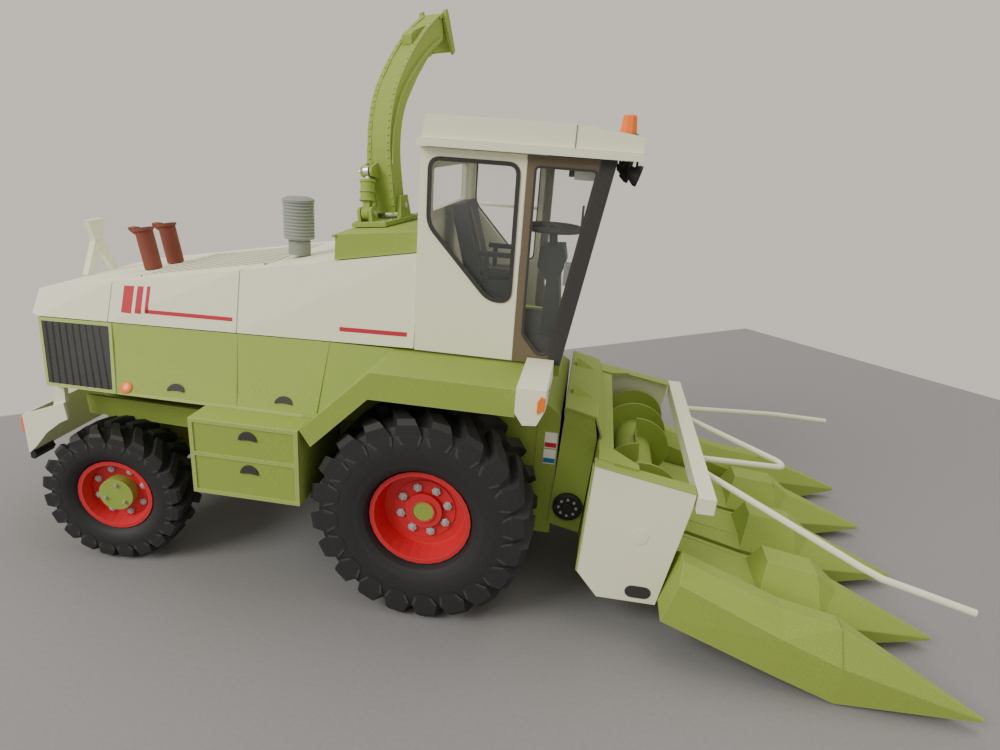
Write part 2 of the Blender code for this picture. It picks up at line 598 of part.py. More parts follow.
# ------------------------------------------------------------------ discharge spout
# Its frame: x along the reach, z up the slewing axis, origin on the turret roof.
ring_frame = empty("spout_ring", (SPOUT_X, 0, SPOUT_Z), machine)
ring_frame.rotation_euler = (Matrix.Rotation(radians(-SPOUT_TILT), 3, "Y")
                             @ Matrix.Rotation(radians(SPOUT_TURN), 3, "Z")).to_euler()
PLATE_TOP = 1.5
CHEEK_TOP = LIFT_PIVOT[1] + 3.0
spout_base = box("spout_base", (-14, -5.5, GAP), (12, 5.5, PLATE_TOP), GREEN, parent=ring_frame)
cheek_in = DUCT_WIDTH / 2 + RUN
for number, sign in enumerate((-1, 1)):
    cheek = [(-3.0, 1), (4.5, 1), (3.2, CHEEK_TOP), (-1.5, CHEEK_TOP)]
    weld(spout_base, prism(f"cheek_{number}", cheek, "y", sign * cheek_in, sign * (cheek_in + 1.2), GREEN,
                           parent=ring_frame))
    ear = [(JACK_FOOT[0] - 2, 1), (JACK_FOOT[0] + 2, 1), (JACK_FOOT[0] + 2, JACK_FOOT[1] + 1),
           (JACK_FOOT[0] + 1, JACK_FOOT[1] + 1.8), (JACK_FOOT[0] - 1, JACK_FOOT[1] + 1.8),
           (JACK_FOOT[0] - 2, JACK_FOOT[1] + 1)]
    weld(spout_base, prism(f"jack_ear_{number}", ear, "y", JACK_Y + sign * (1.1 + RUN),
                           JACK_Y + sign * (2.0 + RUN), GREEN, parent=ring_frame))

spout_pivot = empty("spout_pivot", (LIFT_PIVOT[0], 0, LIFT_PIVOT[1]), ring_frame)
pivot_at = (LIFT_PIVOT[0], 0, LIFT_PIVOT[1])


def duct_line():
    """Points and headings along the back of the duct, from its foot to its mouth."""
    x, z, heading = -DUCT_DEPTH / 2, DUCT_FOOT, 90.0
    line = [(x, z, heading)]
    z = DUCT_STRAIGHT
    line.append((x, z, heading))
    for radius, angle in DUCT_BENDS:
        steps = max(3, round(angle / 6))
        for _ in range(steps):
            turn = angle / steps
            chord = 2 * radius * sin(radians(turn / 2))
            x += chord * cos(radians(heading - turn / 2))
            z += chord * sin(radians(heading - turn / 2))
            heading -= turn
            line.append((x, z, heading))
    return line


duct_rings = []
for x, z, heading in duct_line():
    inward = (sin(radians(heading)) * DUCT_DEPTH, -cos(radians(heading)) * DUCT_DEPTH)
    half = DUCT_WIDTH / 2
    duct_rings.append([(x, -half, z), (x, half, z),
                       (x + inward[0], half, z + inward[1]), (x + inward[0], -half, z + inward[1])])
mouth_x, mouth_z, _ = duct_line()[-1]
UNDERCUT = 4.5              # the mouth is cut back on its underside
for corner in (2, 3):
    x, y, z = duct_rings[-1][corner]
    duct_rings[-1][corner] = (x - UNDERCUT, y, z - UNDERCUT * tan(radians(21)))
duct = loft("spout_duct", duct_rings, GREEN, parent=spout_pivot, origin=pivot_at)
for number, sign in enumerate((-1, 1)):
    lug = [(-DUCT_DEPTH / 2 + 0.5, JACK_HEAD[1] - 2.5), (-DUCT_DEPTH / 2 + 0.5, JACK_HEAD[1] + 2.5),
           (JACK_HEAD[0] - 1.0, JACK_HEAD[1] + 1.2), (JACK_HEAD[0] - 1.4, JACK_HEAD[1]),
           (JACK_HEAD[0] - 1.0, JACK_HEAD[1] - 1.2)]
    y = JACK_Y + sign * (0.8 + RUN)
    weld(duct, prism(f"lug_{number}", lug, "y", y, y + sign * 0.8, GREEN, parent=spout_pivot, origin=pivot_at))
weld(duct, turned("lug_pin", [(0, JACK_Y - 1.5), (0.5, JACK_Y - 1.5), (0.5, JACK_Y + 1.5), (0, JACK_Y + 1.5)],
                  GREEN, centre=(JACK_HEAD[0], 0, JACK_HEAD[1]), segments=12, parent=spout_pivot, origin=pivot_at))

# the lift cylinder; its frame has z along the rod and its origin on the foot pin
jack_run = (JACK_HEAD[0] - JACK_FOOT[0], JACK_HEAD[1] - JACK_FOOT[1])
JACK_LENGTH = hypot(*jack_run)
jack = empty("jack_foot", (JACK_FOOT[0], JACK_Y, JACK_FOOT[1]), ring_frame, (0, atan2(*jack_run), 0))
BARREL_R = 2.1
ROD_R = 0.8
barrel_top = JACK_LENGTH - 2.4
barrel = turned("lift_barrel", [(0, 3.4), (BARREL_R, 3.4), (BARREL_R, barrel_top), (ROD_R + RUN, barrel_top),
                                (ROD_R + RUN, 4.4), (0, 4.4)], GREEN, axis="z", segments=24, parent=jack)
weld(barrel, turned("barrel_eye", [(0, -1.1), (1.9, -1.1), (1.9, 1.1), (0, 1.1)], GREEN, segments=20, parent=jack))
weld(barrel, box("barrel_neck", (-1, -1.1, 0.5), (1, 1.1, 4.0), GREEN, parent=jack))
EYE_R = 1.7
EYE_BORE = 1.0
lift_rod = turned("lift_rod", [(0, 4.8), (ROD_R, 4.8), (ROD_R, JACK_LENGTH - EYE_BORE - 0.2),
                               (0, JACK_LENGTH - EYE_BORE - 0.2)], GREY, axis="z", segments=16, parent=jack)
weld(lift_rod, turned("rod_eye", [(EYE_BORE, -0.8), (EYE_R, -0.8), (EYE_R, 0.8), (EYE_BORE, 0.8)], GREY,
                      centre=(0, 0, JACK_LENGTH), segments=20, parent=jack))

flap_pivot = empty("flap_pivot", (mouth_x + 0.9 - LIFT_PIVOT[0], 0, mouth_z - 0.2 - LIFT_PIVOT[1]), spout_pivot,
                   (0, radians(FLAP_HANG), 0))
flap_half = DUCT_WIDTH / 2 + 1.4
flap = box("spout_flap", (0, -flap_half, 0), (FLAP_LENGTH, flap_half, 0.8), GREEN, parent=flap_pivot)
for number, sign in enumerate((-1, 1)):
    wing = [(-1.4, 0.6), (FLAP_LENGTH, 0.6), (FLAP_LENGTH + 0.6, -1.2), (2.0, -3.2), (-1.4, -1.6)]
    y = sign * (DUCT_WIDTH / 2 + 0.4)
    weld(flap, prism(f"flap_wing_{number}", wing, "y", y, y + sign * 0.95, GREEN, parent=flap_pivot))

# ------------------------------------------------------------------ feeder and header
PIVOT = (FEEDER_PIVOT_X, 0, FEEDER_PIVOT_Z)
header = empty("header_pivot", PIVOT, machine)
ON_HEADER = {"parent": header, "origin": PIVOT}
FEEDER_HALF = 26.0
feeder_side = [(13.5, 24), (13.5, 52), (20, 60), (28, 61.5), (34.8, 57), (34.8, 18), (20, 18)]
feeder = prism("feeder_house", feeder_side, "y", -FEEDER_HALF, FEEDER_HALF, GREEN, **ON_HEADER)
weld(feeder, prism("header_frame", [(34.2, 22), (43.6, 20), (45.6, 51), (44.4, 57.5), (36.0, 59.5)], "y",
                   -FEEDER_HALF - 0.8, FEEDER_HALF + 0.8, GREEN, **ON_HEADER))
for number, sign in enumerate((-1, 1)):
    arm = [(FEEDER_PIVOT_X - 3.6, FEEDER_PIVOT_Z - 3.6), (14.5, FEEDER_PIVOT_Z - 4.5),
           (14.5, FEEDER_PIVOT_Z + 4.5), (FEEDER_PIVOT_X - 3.6, FEEDER_PIVOT_Z + 3.6)]
    weld(feeder, prism(f"feeder_arm_{number}", arm, "y", sign * 13, sign * 18, GREEN, **ON_HEADER))
cut(feeder, turned("shaft_bore", [(0, -19), (2 + RUN, -19), (2 + RUN, 19), (0, 19)], DARK,
                   centre=PIVOT, segments=20, **ON_HEADER))

INNER_HALF = HEADER_HALF - PLATE_THICK
trough_side = [(43.9, 18.7), (46.0, 51.2), (47.6, 51.0), (45.6, 19.4), (50.8, 12.9), (66.2, 12.9),
               (66.3, 11.2), (50.2, 11.2)]
prism("header_trough", trough_side, "y", -INNER_HALF + GAP, INNER_HALF - GAP, GREEN, **ON_HEADER)
plate_side = [(45.3, 51.2), (72.2, 46.7), (71.8, 42.1), (66.5, 11.2), (50.2, 11.2), (43.9, 18.7)]
JOURNAL_R = 1.8
for side, sign in SIDES:
    plate = prism(f"header_side_{side}", plate_side, "y", sign * INNER_HALF, sign * HEADER_HALF, CREAM, **ON_HEADER)
    bore = [(0, sign * (INNER_HALF - 1)), (JOURNAL_R + RUN, sign * (INNER_HALF - 1)),
            (JOURNAL_R + RUN, sign * (HEADER_HALF + 1)), (0, sign * (HEADER_HALF + 1))]
    cut(plate, turned(f"journal_bore_{side}", bore, DARK, centre=(AUGER_X, 0, AUGER_Z), segments=20, **ON_HEADER))

auger_hub = empty("auger_axis", (AUGER_X - FEEDER_PIVOT_X, 0, AUGER_Z - FEEDER_PIVOT_Z), header)
FLIGHTS = (-37.0, -28.0, -19.0, 19.0, 28.0, 37.0)
FLIGHT_THICK = 0.8
end = INNER_HALF - 1.2
auger_profile = [(0, -HEADER_HALF + 0.1), (JOURNAL_R, -HEADER_HALF + 0.1), (JOURNAL_R, -end), (AUGER_TUBE_R, -end)]
for y in FLIGHTS:
    auger_profile += [(AUGER_TUBE_R, y - FLIGHT_THICK / 2), (AUGER_R, y - FLIGHT_THICK / 2),
                      (AUGER_R, y + FLIGHT_THICK / 2), (AUGER_TUBE_R, y + FLIGHT_THICK / 2)]
auger_profile += [(AUGER_TUBE_R, end), (JOURNAL_R, end), (JOURNAL_R, HEADER_HALF - 0.1), (0, HEADER_HALF - 0.1)]
turned("header_auger", auger_profile, GREEN, parent=auger_hub, segments=24)

BAR = 4.5
bar_low = (72.6, -46.0, 42.3)
guard = box("guard_bar", bar_low, (bar_low[0] + BAR, 46.0, bar_low[2] + BAR), CREAM, **ON_HEADER)
TUBE_R = 0.9
TUBE_X = bar_low[0] + BAR - 1.0
for side, sign in SIDES:
    path = [(TUBE_X, sign * 24.2, 44.4), (113.0, sign * 50.6, 36.2), (117.5, sign * 53.2, 35.3), (137.0, sign * 58.6, 33.0)]
    weld(guard, rod(f"guard_tube_{side}", path, TUBE_R, CREAM, **ON_HEADER))
LOOP_R = 3.0
loop_start = Vector((TUBE_X, 16.0, 44.4))
loop_tip = Vector((105.5, 0.0, 38.2))
loop_path = [tuple(loop_start)]
for k in range(5):
    a = radians(60 - 30 * k)
    loop_path.append((loop_tip.x - LOOP_R + LOOP_R * cos(a), LOOP_R * sin(a), loop_tip.z + 0.6 * (1 - cos(a))))
loop_path.append((loop_start.x, -loop_start.y, loop_start.z))
weld(guard, rod("guard_loop", loop_path, TUBE_R, CREAM, **ON_HEADER))


def divider_centre(row, x):
    share = (x - DIVIDER_REAR_X) / (FRONT_REACH - DIVIDER_REAR_X)
    return row * (ROW_PITCH_REAR + share * (ROW_PITCH - ROW_PITCH_REAR))


def divider_half(x):
    share = (x - DIVIDER_REAR_X) / (FRONT_REACH - DIVIDER_REAR_X)
    return (ROW_PITCH_REAR + share * (ROW_PITCH - ROW_PITCH_REAR)) / 2 - SLOT / 2


PLATE_LEAN = 0.28           # the outer dividers start clear of the auger


def divider_ring(x, centre, half, ridge, low, deck, top, lean=0.0):
    """One cross section: floor, deck edges and a ridge plate raised above them."""
    back = lean * PLATE_LEAN
    return [(x, centre - half, low), (x + back * (deck - low), centre - half, deck),
            (x + back * (top - low), centre - ridge, top), (x + back * (top - low), centre + ridge, top),
            (x + back * (deck - low), centre + half, deck), (x, centre + half, low)]


TIP_Z = 3.5
INNER_STATIONS = (          # x, floor, deck, ridge height, ridge half width as a share
    (DIVIDER_REAR_X, 12.0, 19.0, 20.5, 0.62),
    (95.0, 6.0, 12.8, 14.6, 0.55),
    (98.0, 5.4, 12.4, 21.5, 0.34),
    (DIVIDER_NOSE_X, 3.0, 10.2, 20.0, 0.30),
)
for row, name in ((-1, "divider_r"), (0, "divider_centre"), (1, "divider_l")):
    rings = [divider_ring(x, divider_centre(row, x), divider_half(x), divider_half(x) * share, low, deck, high)
             for x, low, deck, high, share in INNER_STATIONS]
    rings.append(divider_ring(118.0, divider_centre(row, 118.0), 10.6, 2.4, 2.8, 8.6, 15.5))
    rings.append(divider_ring(FRONT_REACH, row * ROW_PITCH, 0.5, 0.2, TIP_Z - 0.5, TIP_Z, TIP_Z + 0.5))
    loft(name, rings, GREEN, **ON_HEADER)

OUTER_STATIONS = (          # x, outer half width, floor, outer edge, ridge height, ridge offset from the middle
    (DIVIDER_REAR_X + 0.2, 53.0, 13.0, 25.0, 28.5),
    (97.0, 57.0, 4.5, 16.0, 21.0),
    (DIVIDER_NOSE_X, 58.8, 0.5, 11.5, 19.0),
)
for side, sign in SIDES:
    rings = []
    for x, outer, low, edge, high in OUTER_STATIONS:
        inner = abs(divider_centre(1, x)) + divider_half(x) + SLOT
        centre = (outer + inner) / 2
        half = (outer - inner) / 2
        lean = 1.0 if x < 70 else 0.0
        rings.append(divider_ring(x, sign * centre, half, half * 0.3, low, edge, high, lean))
    rings.append(divider_ring(FRONT_REACH, sign * (2 * ROW_PITCH - 0.5), 0.5, 0.2, TIP_Z - 0.5, TIP_Z, TIP_Z + 0.5))
    loft(f"outer_divider_{side}", rings, GREEN, **ON_HEADER)
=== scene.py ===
"""Looks of the card scale model of a forage harvester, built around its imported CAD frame.

Points are written in millimetres from the front axle (X forward, Y left, Z up) and
become metres in the shared frame, whose origin is under the middle of the model.
"""
from math import atan2, cos, pi, radians, sin, tan, tau

import bmesh
import bpy
from mathutils import Matrix, Vector
from mathutils.bvhtree import BVHTree
from mathutils.geometry import intersect_line_line_2d


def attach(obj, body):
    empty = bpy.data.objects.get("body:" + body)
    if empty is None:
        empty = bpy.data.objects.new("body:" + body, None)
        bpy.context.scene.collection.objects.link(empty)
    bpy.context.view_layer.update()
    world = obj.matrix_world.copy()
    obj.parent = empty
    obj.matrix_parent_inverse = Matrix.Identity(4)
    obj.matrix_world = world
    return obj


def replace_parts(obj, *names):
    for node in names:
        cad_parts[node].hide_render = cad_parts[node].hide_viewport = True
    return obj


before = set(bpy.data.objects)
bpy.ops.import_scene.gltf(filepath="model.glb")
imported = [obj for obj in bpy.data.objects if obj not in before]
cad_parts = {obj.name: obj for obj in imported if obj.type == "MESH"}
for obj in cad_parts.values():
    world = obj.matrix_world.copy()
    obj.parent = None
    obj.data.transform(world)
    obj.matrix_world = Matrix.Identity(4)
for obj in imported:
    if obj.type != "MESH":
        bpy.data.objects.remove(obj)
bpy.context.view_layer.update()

# ---------------------------------------------------------------- camera, table and light
# The model stands on a plain grey table top in a pale room, lit by a window on its
# right rear side, and is seen from a little above cab height.
MM = 0.001
AXLE_X = -8.25              # the front axle, from the middle of the model's length


def at(x, y, z):
    return Vector((x + AXLE_X, y, z)) * MM


YAW, PITCH, ROLL = 0.123, 0.341, 0.073
forward = Vector((-sin(YAW) * cos(PITCH), cos(YAW) * cos(PITCH), -sin(PITCH)))
level = Vector((cos(YAW), sin(YAW), 0))
below = forward.cross(level)
right = level * cos(ROLL) - below * sin(ROLL)
down = level * sin(ROLL) + below * cos(ROLL)
camera = bpy.data.objects.new("camera", bpy.data.cameras.new("camera"))
bpy.context.scene.collection.objects.link(camera)
lens_axes = Matrix((right, -down, -forward)).transposed().to_4x4()
camera.matrix_world = Matrix.Translation(at(38.52, -205.2, 131.0)) @ lens_axes
camera.data.sensor_width = 36.0
camera.data.lens = 24.28
camera.data.clip_start = 0.01
bpy.context.scene.camera = camera


def surface(name, colour, roughness, **extra):
    """A new material and its shader; extra holds more of the shader's sockets."""
    made = bpy.data.materials.new(name)
    made.use_nodes = True
    shader = made.node_tree.nodes["Principled BSDF"]
    shader.inputs["Base Color"].default_value = (*colour, 1)
    shader.inputs["Roughness"].default_value = roughness
    for socket, value in extra.items():
        shader.inputs[socket.replace("_", " ")].default_value = value
    return made


def noise(stuff, scale, detail=3.0):
    """A noise pattern in object space, in metres."""
    nodes, links = stuff.node_tree.nodes, stuff.node_tree.links
    place = nodes.new("ShaderNodeTexCoord")
    pattern = nodes.new("ShaderNodeTexNoise")
    pattern.inputs["Scale"].default_value = scale
    pattern.inputs["Detail"].default_value = detail
    links.new(place.outputs["Object"], pattern.inputs["Vector"])
    return pattern.outputs["Fac"]


def blend_colour(stuff, factor, first, second):
    """Mix two colours or sockets by a socket, and return the mixed colour's socket."""
    nodes, links = stuff.node_tree.nodes, stuff.node_tree.links
    mix = nodes.new("ShaderNodeMix")
    mix.data_type = "RGBA"
    links.new(factor, mix.inputs[0])
    for socket, value in ((mix.inputs[6], first), (mix.inputs[7], second)):
        if isinstance(value, bpy.types.NodeSocket):
            links.new(value, socket)
        else:
            socket.default_value = (*value, 1)
    return mix.outputs[2]


def ramp(stuff, value, low, high):
    """Stretch a value so that low becomes 0 and high becomes 1."""
    node = stuff.node_tree.nodes.new("ShaderNodeMapRange")
    node.inputs["From Min"].default_value = low
    node.inputs["From Max"].default_value = high
    stuff.node_tree.links.new(value, node.inputs["Value"])
    return node.outputs["Result"]


def bump(stuff, height, strength, depth):
    nodes, links = stuff.node_tree.nodes, stuff.node_tree.links
    node = nodes.new("ShaderNodeBump")
    node.inputs["Strength"].default_value = strength
    node.inputs["Distance"].default_value = depth
    links.new(height, node.inputs["Height"])
    links.new(node.outputs["Normal"], nodes["Principled BSDF"].inputs["Normal"])


TABLE = surface("table_top", (0.24, 0.235, 0.24), 0.7)
grain = noise(TABLE, 900)
TABLE.node_tree.links.new(blend_colour(TABLE, grain, (0.225, 0.222, 0.235), (0.275, 0.272, 0.285)),
                          TABLE.node_tree.nodes["Principled BSDF"].inputs["Base Color"])
table_mesh = bpy.data.meshes.new("table")
TABLE_EDGE = ((-1200, -768), (165, 337), (1300, -700), (1300, -2000), (-1200, -2000))
table_mesh.from_pydata([at(x, y, -0.02) for x, y in TABLE_EDGE], [], [(4, 3, 2, 1, 0)])
table_mesh.materials.append(TABLE)
table = bpy.data.objects.new("table", table_mesh)
bpy.context.scene.collection.objects.link(table)

room = bpy.data.worlds.new("room")
room.use_nodes = True
room.node_tree.nodes["Background"].inputs["Color"].default_value = (0.83, 0.765, 0.675, 1)
room.node_tree.nodes["Background"].inputs["Strength"].default_value = 0.92
bpy.context.scene.world = room


def lamp(name, place, aim, size, power, colour):
    light = bpy.data.lights.new(name, "AREA")
    light.size = size
    light.energy = power
    light.color = colour
    holder = bpy.data.objects.new(name, light)
    bpy.context.scene.collection.objects.link(holder)
    holder.location = place
    holder.rotation_euler = (Vector(aim) - Vector(place)).to_track_quat("-Z", "Y").to_euler()


lamp("window", (-0.75, -0.75, 0.75), (0, 0, 0.05), 0.6, 11.0, (1.0, 0.985, 0.90))
lamp("ceiling", (0.2, 0.3, 1.3), (0, 0, 0.05), 0.9, 5.5, (1.0, 0.97, 0.93))

# ---------------------------------------------------------------- card, wire and film
# Almost everything is printed card: matte, faintly mottled by the print, with the pale
# core of the sheet showing where it is cut or folded.  Windows are clear film.
EDGE = 0.00022              # how far the sheet's core shows along a fold


def card(name, colour, core, speckle=0.12, roughness=0.72):
    """Printed card with a fibre grain, large mottling and worn folds."""
    stuff = surface(name, colour, roughness)
    nodes, links = stuff.node_tree.nodes, stuff.node_tree.links
    dark = [c * (1 - speckle) for c in colour]
    light = [min(1.0, c * (1 + speckle)) for c in colour]
    print_grain = ramp(stuff, noise(stuff, 2600, 2.0), 0.35, 0.65)
    mottle = ramp(stuff, noise(stuff, 75, 4.0), 0.3, 0.7)
    base = blend_colour(stuff, print_grain, dark, light)
    base = blend_colour(stuff, mottle, base, colour)
    corner = nodes.new("ShaderNodeBevel")
    corner.samples = 4
    corner.inputs["Radius"].default_value = EDGE
    shape = nodes.new("ShaderNodeNewGeometry")
    dot = nodes.new("ShaderNodeVectorMath")
    dot.operation = "DOT_PRODUCT"
    links.new(corner.outputs["Normal"], dot.inputs[0])
    links.new(shape.outputs["True Normal"], dot.inputs[1])
    wear = ramp(stuff, dot.outputs["Value"], 0.985, 0.88)
    links.new(blend_colour(stuff, wear, base, core), nodes["Principled BSDF"].inputs["Base Color"])
    bump(stuff, noise(stuff, 3200, 3.0), 0.25, 0.00004)
    return stuff


GREEN = card("printed_green", (0.270, 0.365, 0.060), (0.46, 0.54, 0.24))
SMOOTH_GREEN = card("unworn_green", (0.270, 0.365, 0.060), (0.270, 0.365, 0.060))
EDGE_GREEN = card("worn_green", (0.33, 0.42, 0.095), (0.50, 0.57, 0.27))
# A darker copy of the green: painted shade on the chassis and axles, and the dark scored joints and seams
# elsewhere.
SHADE_AND_JOINT_GREEN = card("shade_and_joint_green", (0.185, 0.240, 0.030), (0.33, 0.40, 0.13))
CREAM = card("printed_cream", (0.83, 0.84, 0.65), (0.62, 0.61, 0.47), speckle=0.03)
BROWN = card("printed_brown", (0.150, 0.120, 0.075), (0.26, 0.22, 0.16))
DARK = card("printed_charcoal", (0.035, 0.033, 0.033), (0.09, 0.09, 0.09), speckle=0.25)
RUST = card("printed_rust", (0.190, 0.045, 0.030), (0.30, 0.12, 0.09))
GREY = card("printed_grey", (0.250, 0.275, 0.255), (0.40, 0.42, 0.40))
RED = card("printed_red", (0.60, 0.018, 0.028), (0.74, 0.10, 0.09), speckle=0.05, roughness=0.5)
BLACK = card("black_card", (0.016, 0.016, 0.018), (0.045, 0.045, 0.048), speckle=0.3, roughness=0.66)
INK_RED = surface("red_ink", (0.50, 0.012, 0.035), 0.6)
STEEL = surface("grey_bolt_paint", (0.42, 0.43, 0.45), 0.42, Metallic=0.25)
SILVER = surface("bare_wire", (0.72, 0.72, 0.70), 0.3, Metallic=0.9)
AMBER = surface("amber_plastic", (0.90, 0.19, 0.012), 0.25)
WHITE = surface("white_paper", (0.82, 0.82, 0.78), 0.6)
FILM = surface("clear_film", (0.55, 0.60, 0.62), 0.05, Alpha=0.05)
LENS = surface("lamp_lens", (0.75, 0.78, 0.80), 0.12)
for plain, scale in ((INK_RED, 1800), (STEEL, 1500), (SILVER, 2200), (AMBER, 700), (WHITE, 1800),
                     (LENS, 900), (FILM, 120)):
    bump(plain, noise(plain, scale), 0.12, 0.00002)


def paint(stuff, *names):
    """Give carried CAD pieces their finish."""
    for name in names:
        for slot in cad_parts[name].material_slots:
            slot.link = "OBJECT"
            slot.material = stuff


# ---------------------------------------------------------------- chassis and axles
# Two card rails with cross members, a drum axle in front and a beam with yokes behind,
# all folded from green card and mostly in shadow; their green is darkened as painted shade.
paint(SHADE_AND_JOINT_GREEN, "chassis", "front_axle", "rear_axle", "knuckle_r", "knuckle_l")


def solid_block(low, high):
    x, y, z = zip(low, high)
    points = [Vector((x[i], y[j], z[k])) for i, j, k in
              ((0, 0, 0), (1, 0, 0), (1, 1, 0), (0, 1, 0), (0, 0, 1), (1, 0, 1), (1, 1, 1), (0, 1, 1))]
    return points, [(0, 3, 2, 1), (4, 5, 6, 7), (0, 1, 5, 4), (1, 2, 6, 5), (2, 3, 7, 6), (3, 0, 4, 7)]


def skin(rings, closed=False):
    """Faces over rings of equally many points, with a cap at each end unless it closes."""
    count = len(rings[0])
    points = [Vector(p) for ring in rings for p in ring]
    faces = [] if closed else [tuple(range(count)), tuple(range(len(points) - count, len(points)))]
    for r in range(len(rings) - (0 if closed else 1)):
        s = (r + 1) % len(rings)
        for i in range(count):
            j = (i + 1) % count
            faces.append((r * count + i, r * count + j, s * count + j, s * count + i))
    return points, faces


def sheet_of(outline, out, thick, sunk=0.05):
    """A flat outline of 3-D points given a thickness towards out, and let in a little."""
    outline = [Vector(p) for p in outline]
    out = Vector(out).normalized()
    return skin([[p - out * sunk for p in outline], [p + out * thick for p in outline]])


def along(outline, axis, low, high):
    """An outline in the two other axes, in X, Y, Z order, run along one axis."""
    rings = []
    for end in (low, high):
        ring = []
        for pair in outline:
            spot = list(pair)
            spot.insert("xyz".index(axis), end)
            ring.append(spot)
        rings.append(ring)
    return skin(rings)


def lathe(profile, centre=(0, 0, 0), axis=(0, 1, 0), segments=40, start=0.0):
    """(radius, along) pairs turned about an axis; ends at radius 0, or a closed ring."""
    axis = Vector(axis).normalized()
    side = axis.cross(Vector((0, 0, 1)) if abs(axis.z) < 0.9 else Vector((1, 0, 0))).normalized()
    other = axis.cross(side)
    points, faces, first = [], [], []
    for radius, reach in profile:
        first.append(len(points))
        for i in range(1 if radius == 0 else segments):
            a = start + tau * i / segments
            points.append(Vector(centre) + axis * reach + (side * cos(a) + other * sin(a)) * radius)
    last = len(profile) if profile[0][0] > 0 else len(profile) - 1
    for k in range(last):
        n = (k + 1) % len(profile)
        for i in range(segments):
            j = (i + 1) % segments
            near = [first[k]] if profile[k][0] == 0 else [first[k] + i, first[k] + j]
            far = [first[n]] if profile[n][0] == 0 else [first[n] + j, first[n] + i]
            faces.append(tuple(near + far))
    return points, faces


def wire(path, radius, sides=10):
    """A round wire along points."""
    path = [Vector(p) for p in path]
    rings = []
    across = None
    for i, spot in enumerate(path):
        heading = (path[min(i + 1, len(path) - 1)] - path[max(i - 1, 0)]).normalized()
        across = (across or heading.orthogonal())
        across = (across - heading * across.dot(heading)).normalized()
        other = heading.cross(across)
        rings.append([spot + (across * cos(tau * k / sides) + other * sin(tau * k / sides)) * radius
                      for k in range(sides)])
    return skin(rings)


def mesh_of(name, shapes, stuff, origin=None, turned=None):
    """One mesh from several closed shapes, in metres, faces outwards."""
    points, faces = [], []
    for shape_points, shape_faces in shapes:
        shift = len(points)
        for p in shape_points:
            p = turned @ p if turned is not None else p
            points.append(at(*p) if origin is None else p * MM)
        faces += [tuple(i + shift for i in face) for face in shape_faces]
    mesh = bpy.data.meshes.new(name)
    mesh.from_pydata(points, [], faces)
    work = bmesh.new()
    work.from_mesh(mesh)
    bmesh.ops.recalc_face_normals(work, faces=work.faces)
    work.to_mesh(mesh)
    work.free()
    mesh.materials.append(stuff)
    return mesh


def disc(radius, low, high, *place, **how):
    """A round plate between two stations on its axis."""
    return lathe([(0, low), (radius, low), (radius, high), (0, high)], *place, **how)


def hoop(inner, outer, low, high, *place, **how):
    """A round band between two stations on its axis."""
    return lathe([(inner, low), (outer, low), (outer, high), (inner, high)], *place, **how)


def smooth(mesh, limit):
    """Shade a mesh smooth, apart from folds of more than limit degrees."""
    mesh.shade_smooth()
    mesh.set_sharp_from_angle(angle=radians(limit))


def placed(name, mesh, body, soft=0.0):
    """A finished mesh as a piece that rides on a body, its folds softened by a small bevel."""
    thing = bpy.data.objects.new(name, mesh)
    bpy.context.scene.collection.objects.link(thing)
    if soft:
        edge = thing.modifiers.new("fold", "BEVEL")
        edge.width = soft * MM
        edge.segments = 2
        edge.limit_method = "ANGLE"
        edge.angle_limit = radians(35)
    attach(thing, body)
    return thing


def made(name, shapes, stuff, body="machine", slot=None, soft=0.0, round_to=None):
    """A piece made of closed shapes, in millimetres from the front axle."""
    mesh = mesh_of(name, shapes, stuff)
    if round_to:
        smooth(mesh, round_to)
    return placed(name, mesh, body, soft)


AXLE_Z = 31.0
made("axle_flanges", [disc(7.4, s * 27.4, s * 27.9, (0, 0, AXLE_Z)) for s in (-1, 1)],
     SHADE_AND_JOINT_GREEN, soft=0.1, round_to=35)

# ---------------------------------------------------------------- tyres
# Each tyre is a drum of black card with chevron lugs glued on in two staggered rows,
# their ends folded down over the shoulder.  A node tree repeats the lug round the axle.
repeat = bpy.data.node_groups.new("repeat_shape", "GeometryNodeTree")
socket_of = {}
for label, kind in (("Pattern", "Object"), ("Count", "Int"), ("Centre", "Vector"), ("Step", "Vector"),
                    ("Axis", "Vector"), ("Turn", "Float"), ("Finish", "Material")):
    socket = repeat.interface.new_socket(label, in_out="INPUT", socket_type="NodeSocket" + kind)
    socket_of[label] = socket.identifier
repeat.interface.new_socket("Geometry", in_out="OUTPUT", socket_type="NodeSocketGeometry")
steps = {label: repeat.nodes.new(kind) for label, kind in (
    ("sizes", "NodeGroupInput"), ("row", "GeometryNodeMeshLine"), ("pattern", "GeometryNodeObjectInfo"),
    ("number", "GeometryNodeInputIndex"), ("angle", "ShaderNodeMath"),
    ("copies", "GeometryNodeInstanceOnPoints"), ("spin", "FunctionNodeAxisAngleToRotation"),
    ("real", "GeometryNodeRealizeInstances"), ("finish", "GeometryNodeSetMaterial"),
    ("result", "NodeGroupOutput"))}
steps["angle"].operation = "MULTIPLY"
for source, output, target, socket in (
        ("sizes", "Count", "row", "Count"), ("sizes", "Centre", "row", "Start Location"),
        ("sizes", "Step", "row", "Offset"), ("sizes", "Pattern", "pattern", "Object"),
        ("number", 0, "angle", 0), ("sizes", "Turn", "angle", 1),
        ("sizes", "Axis", "spin", "Axis"), ("angle", 0, "spin", "Angle"), ("row", "Mesh", "copies", "Points"),
        ("pattern", "Geometry", "copies", "Instance"), ("spin", "Rotation", "copies", "Rotation"),
        ("copies", "Instances", "real", "Geometry"), ("real", "Geometry", "finish", "Geometry"),
        ("sizes", "Finish", "finish", "Material"), ("finish", "Geometry", "result", "Geometry")):
    repeat.links.new(steps[source].outputs[output], steps[target].inputs[socket])


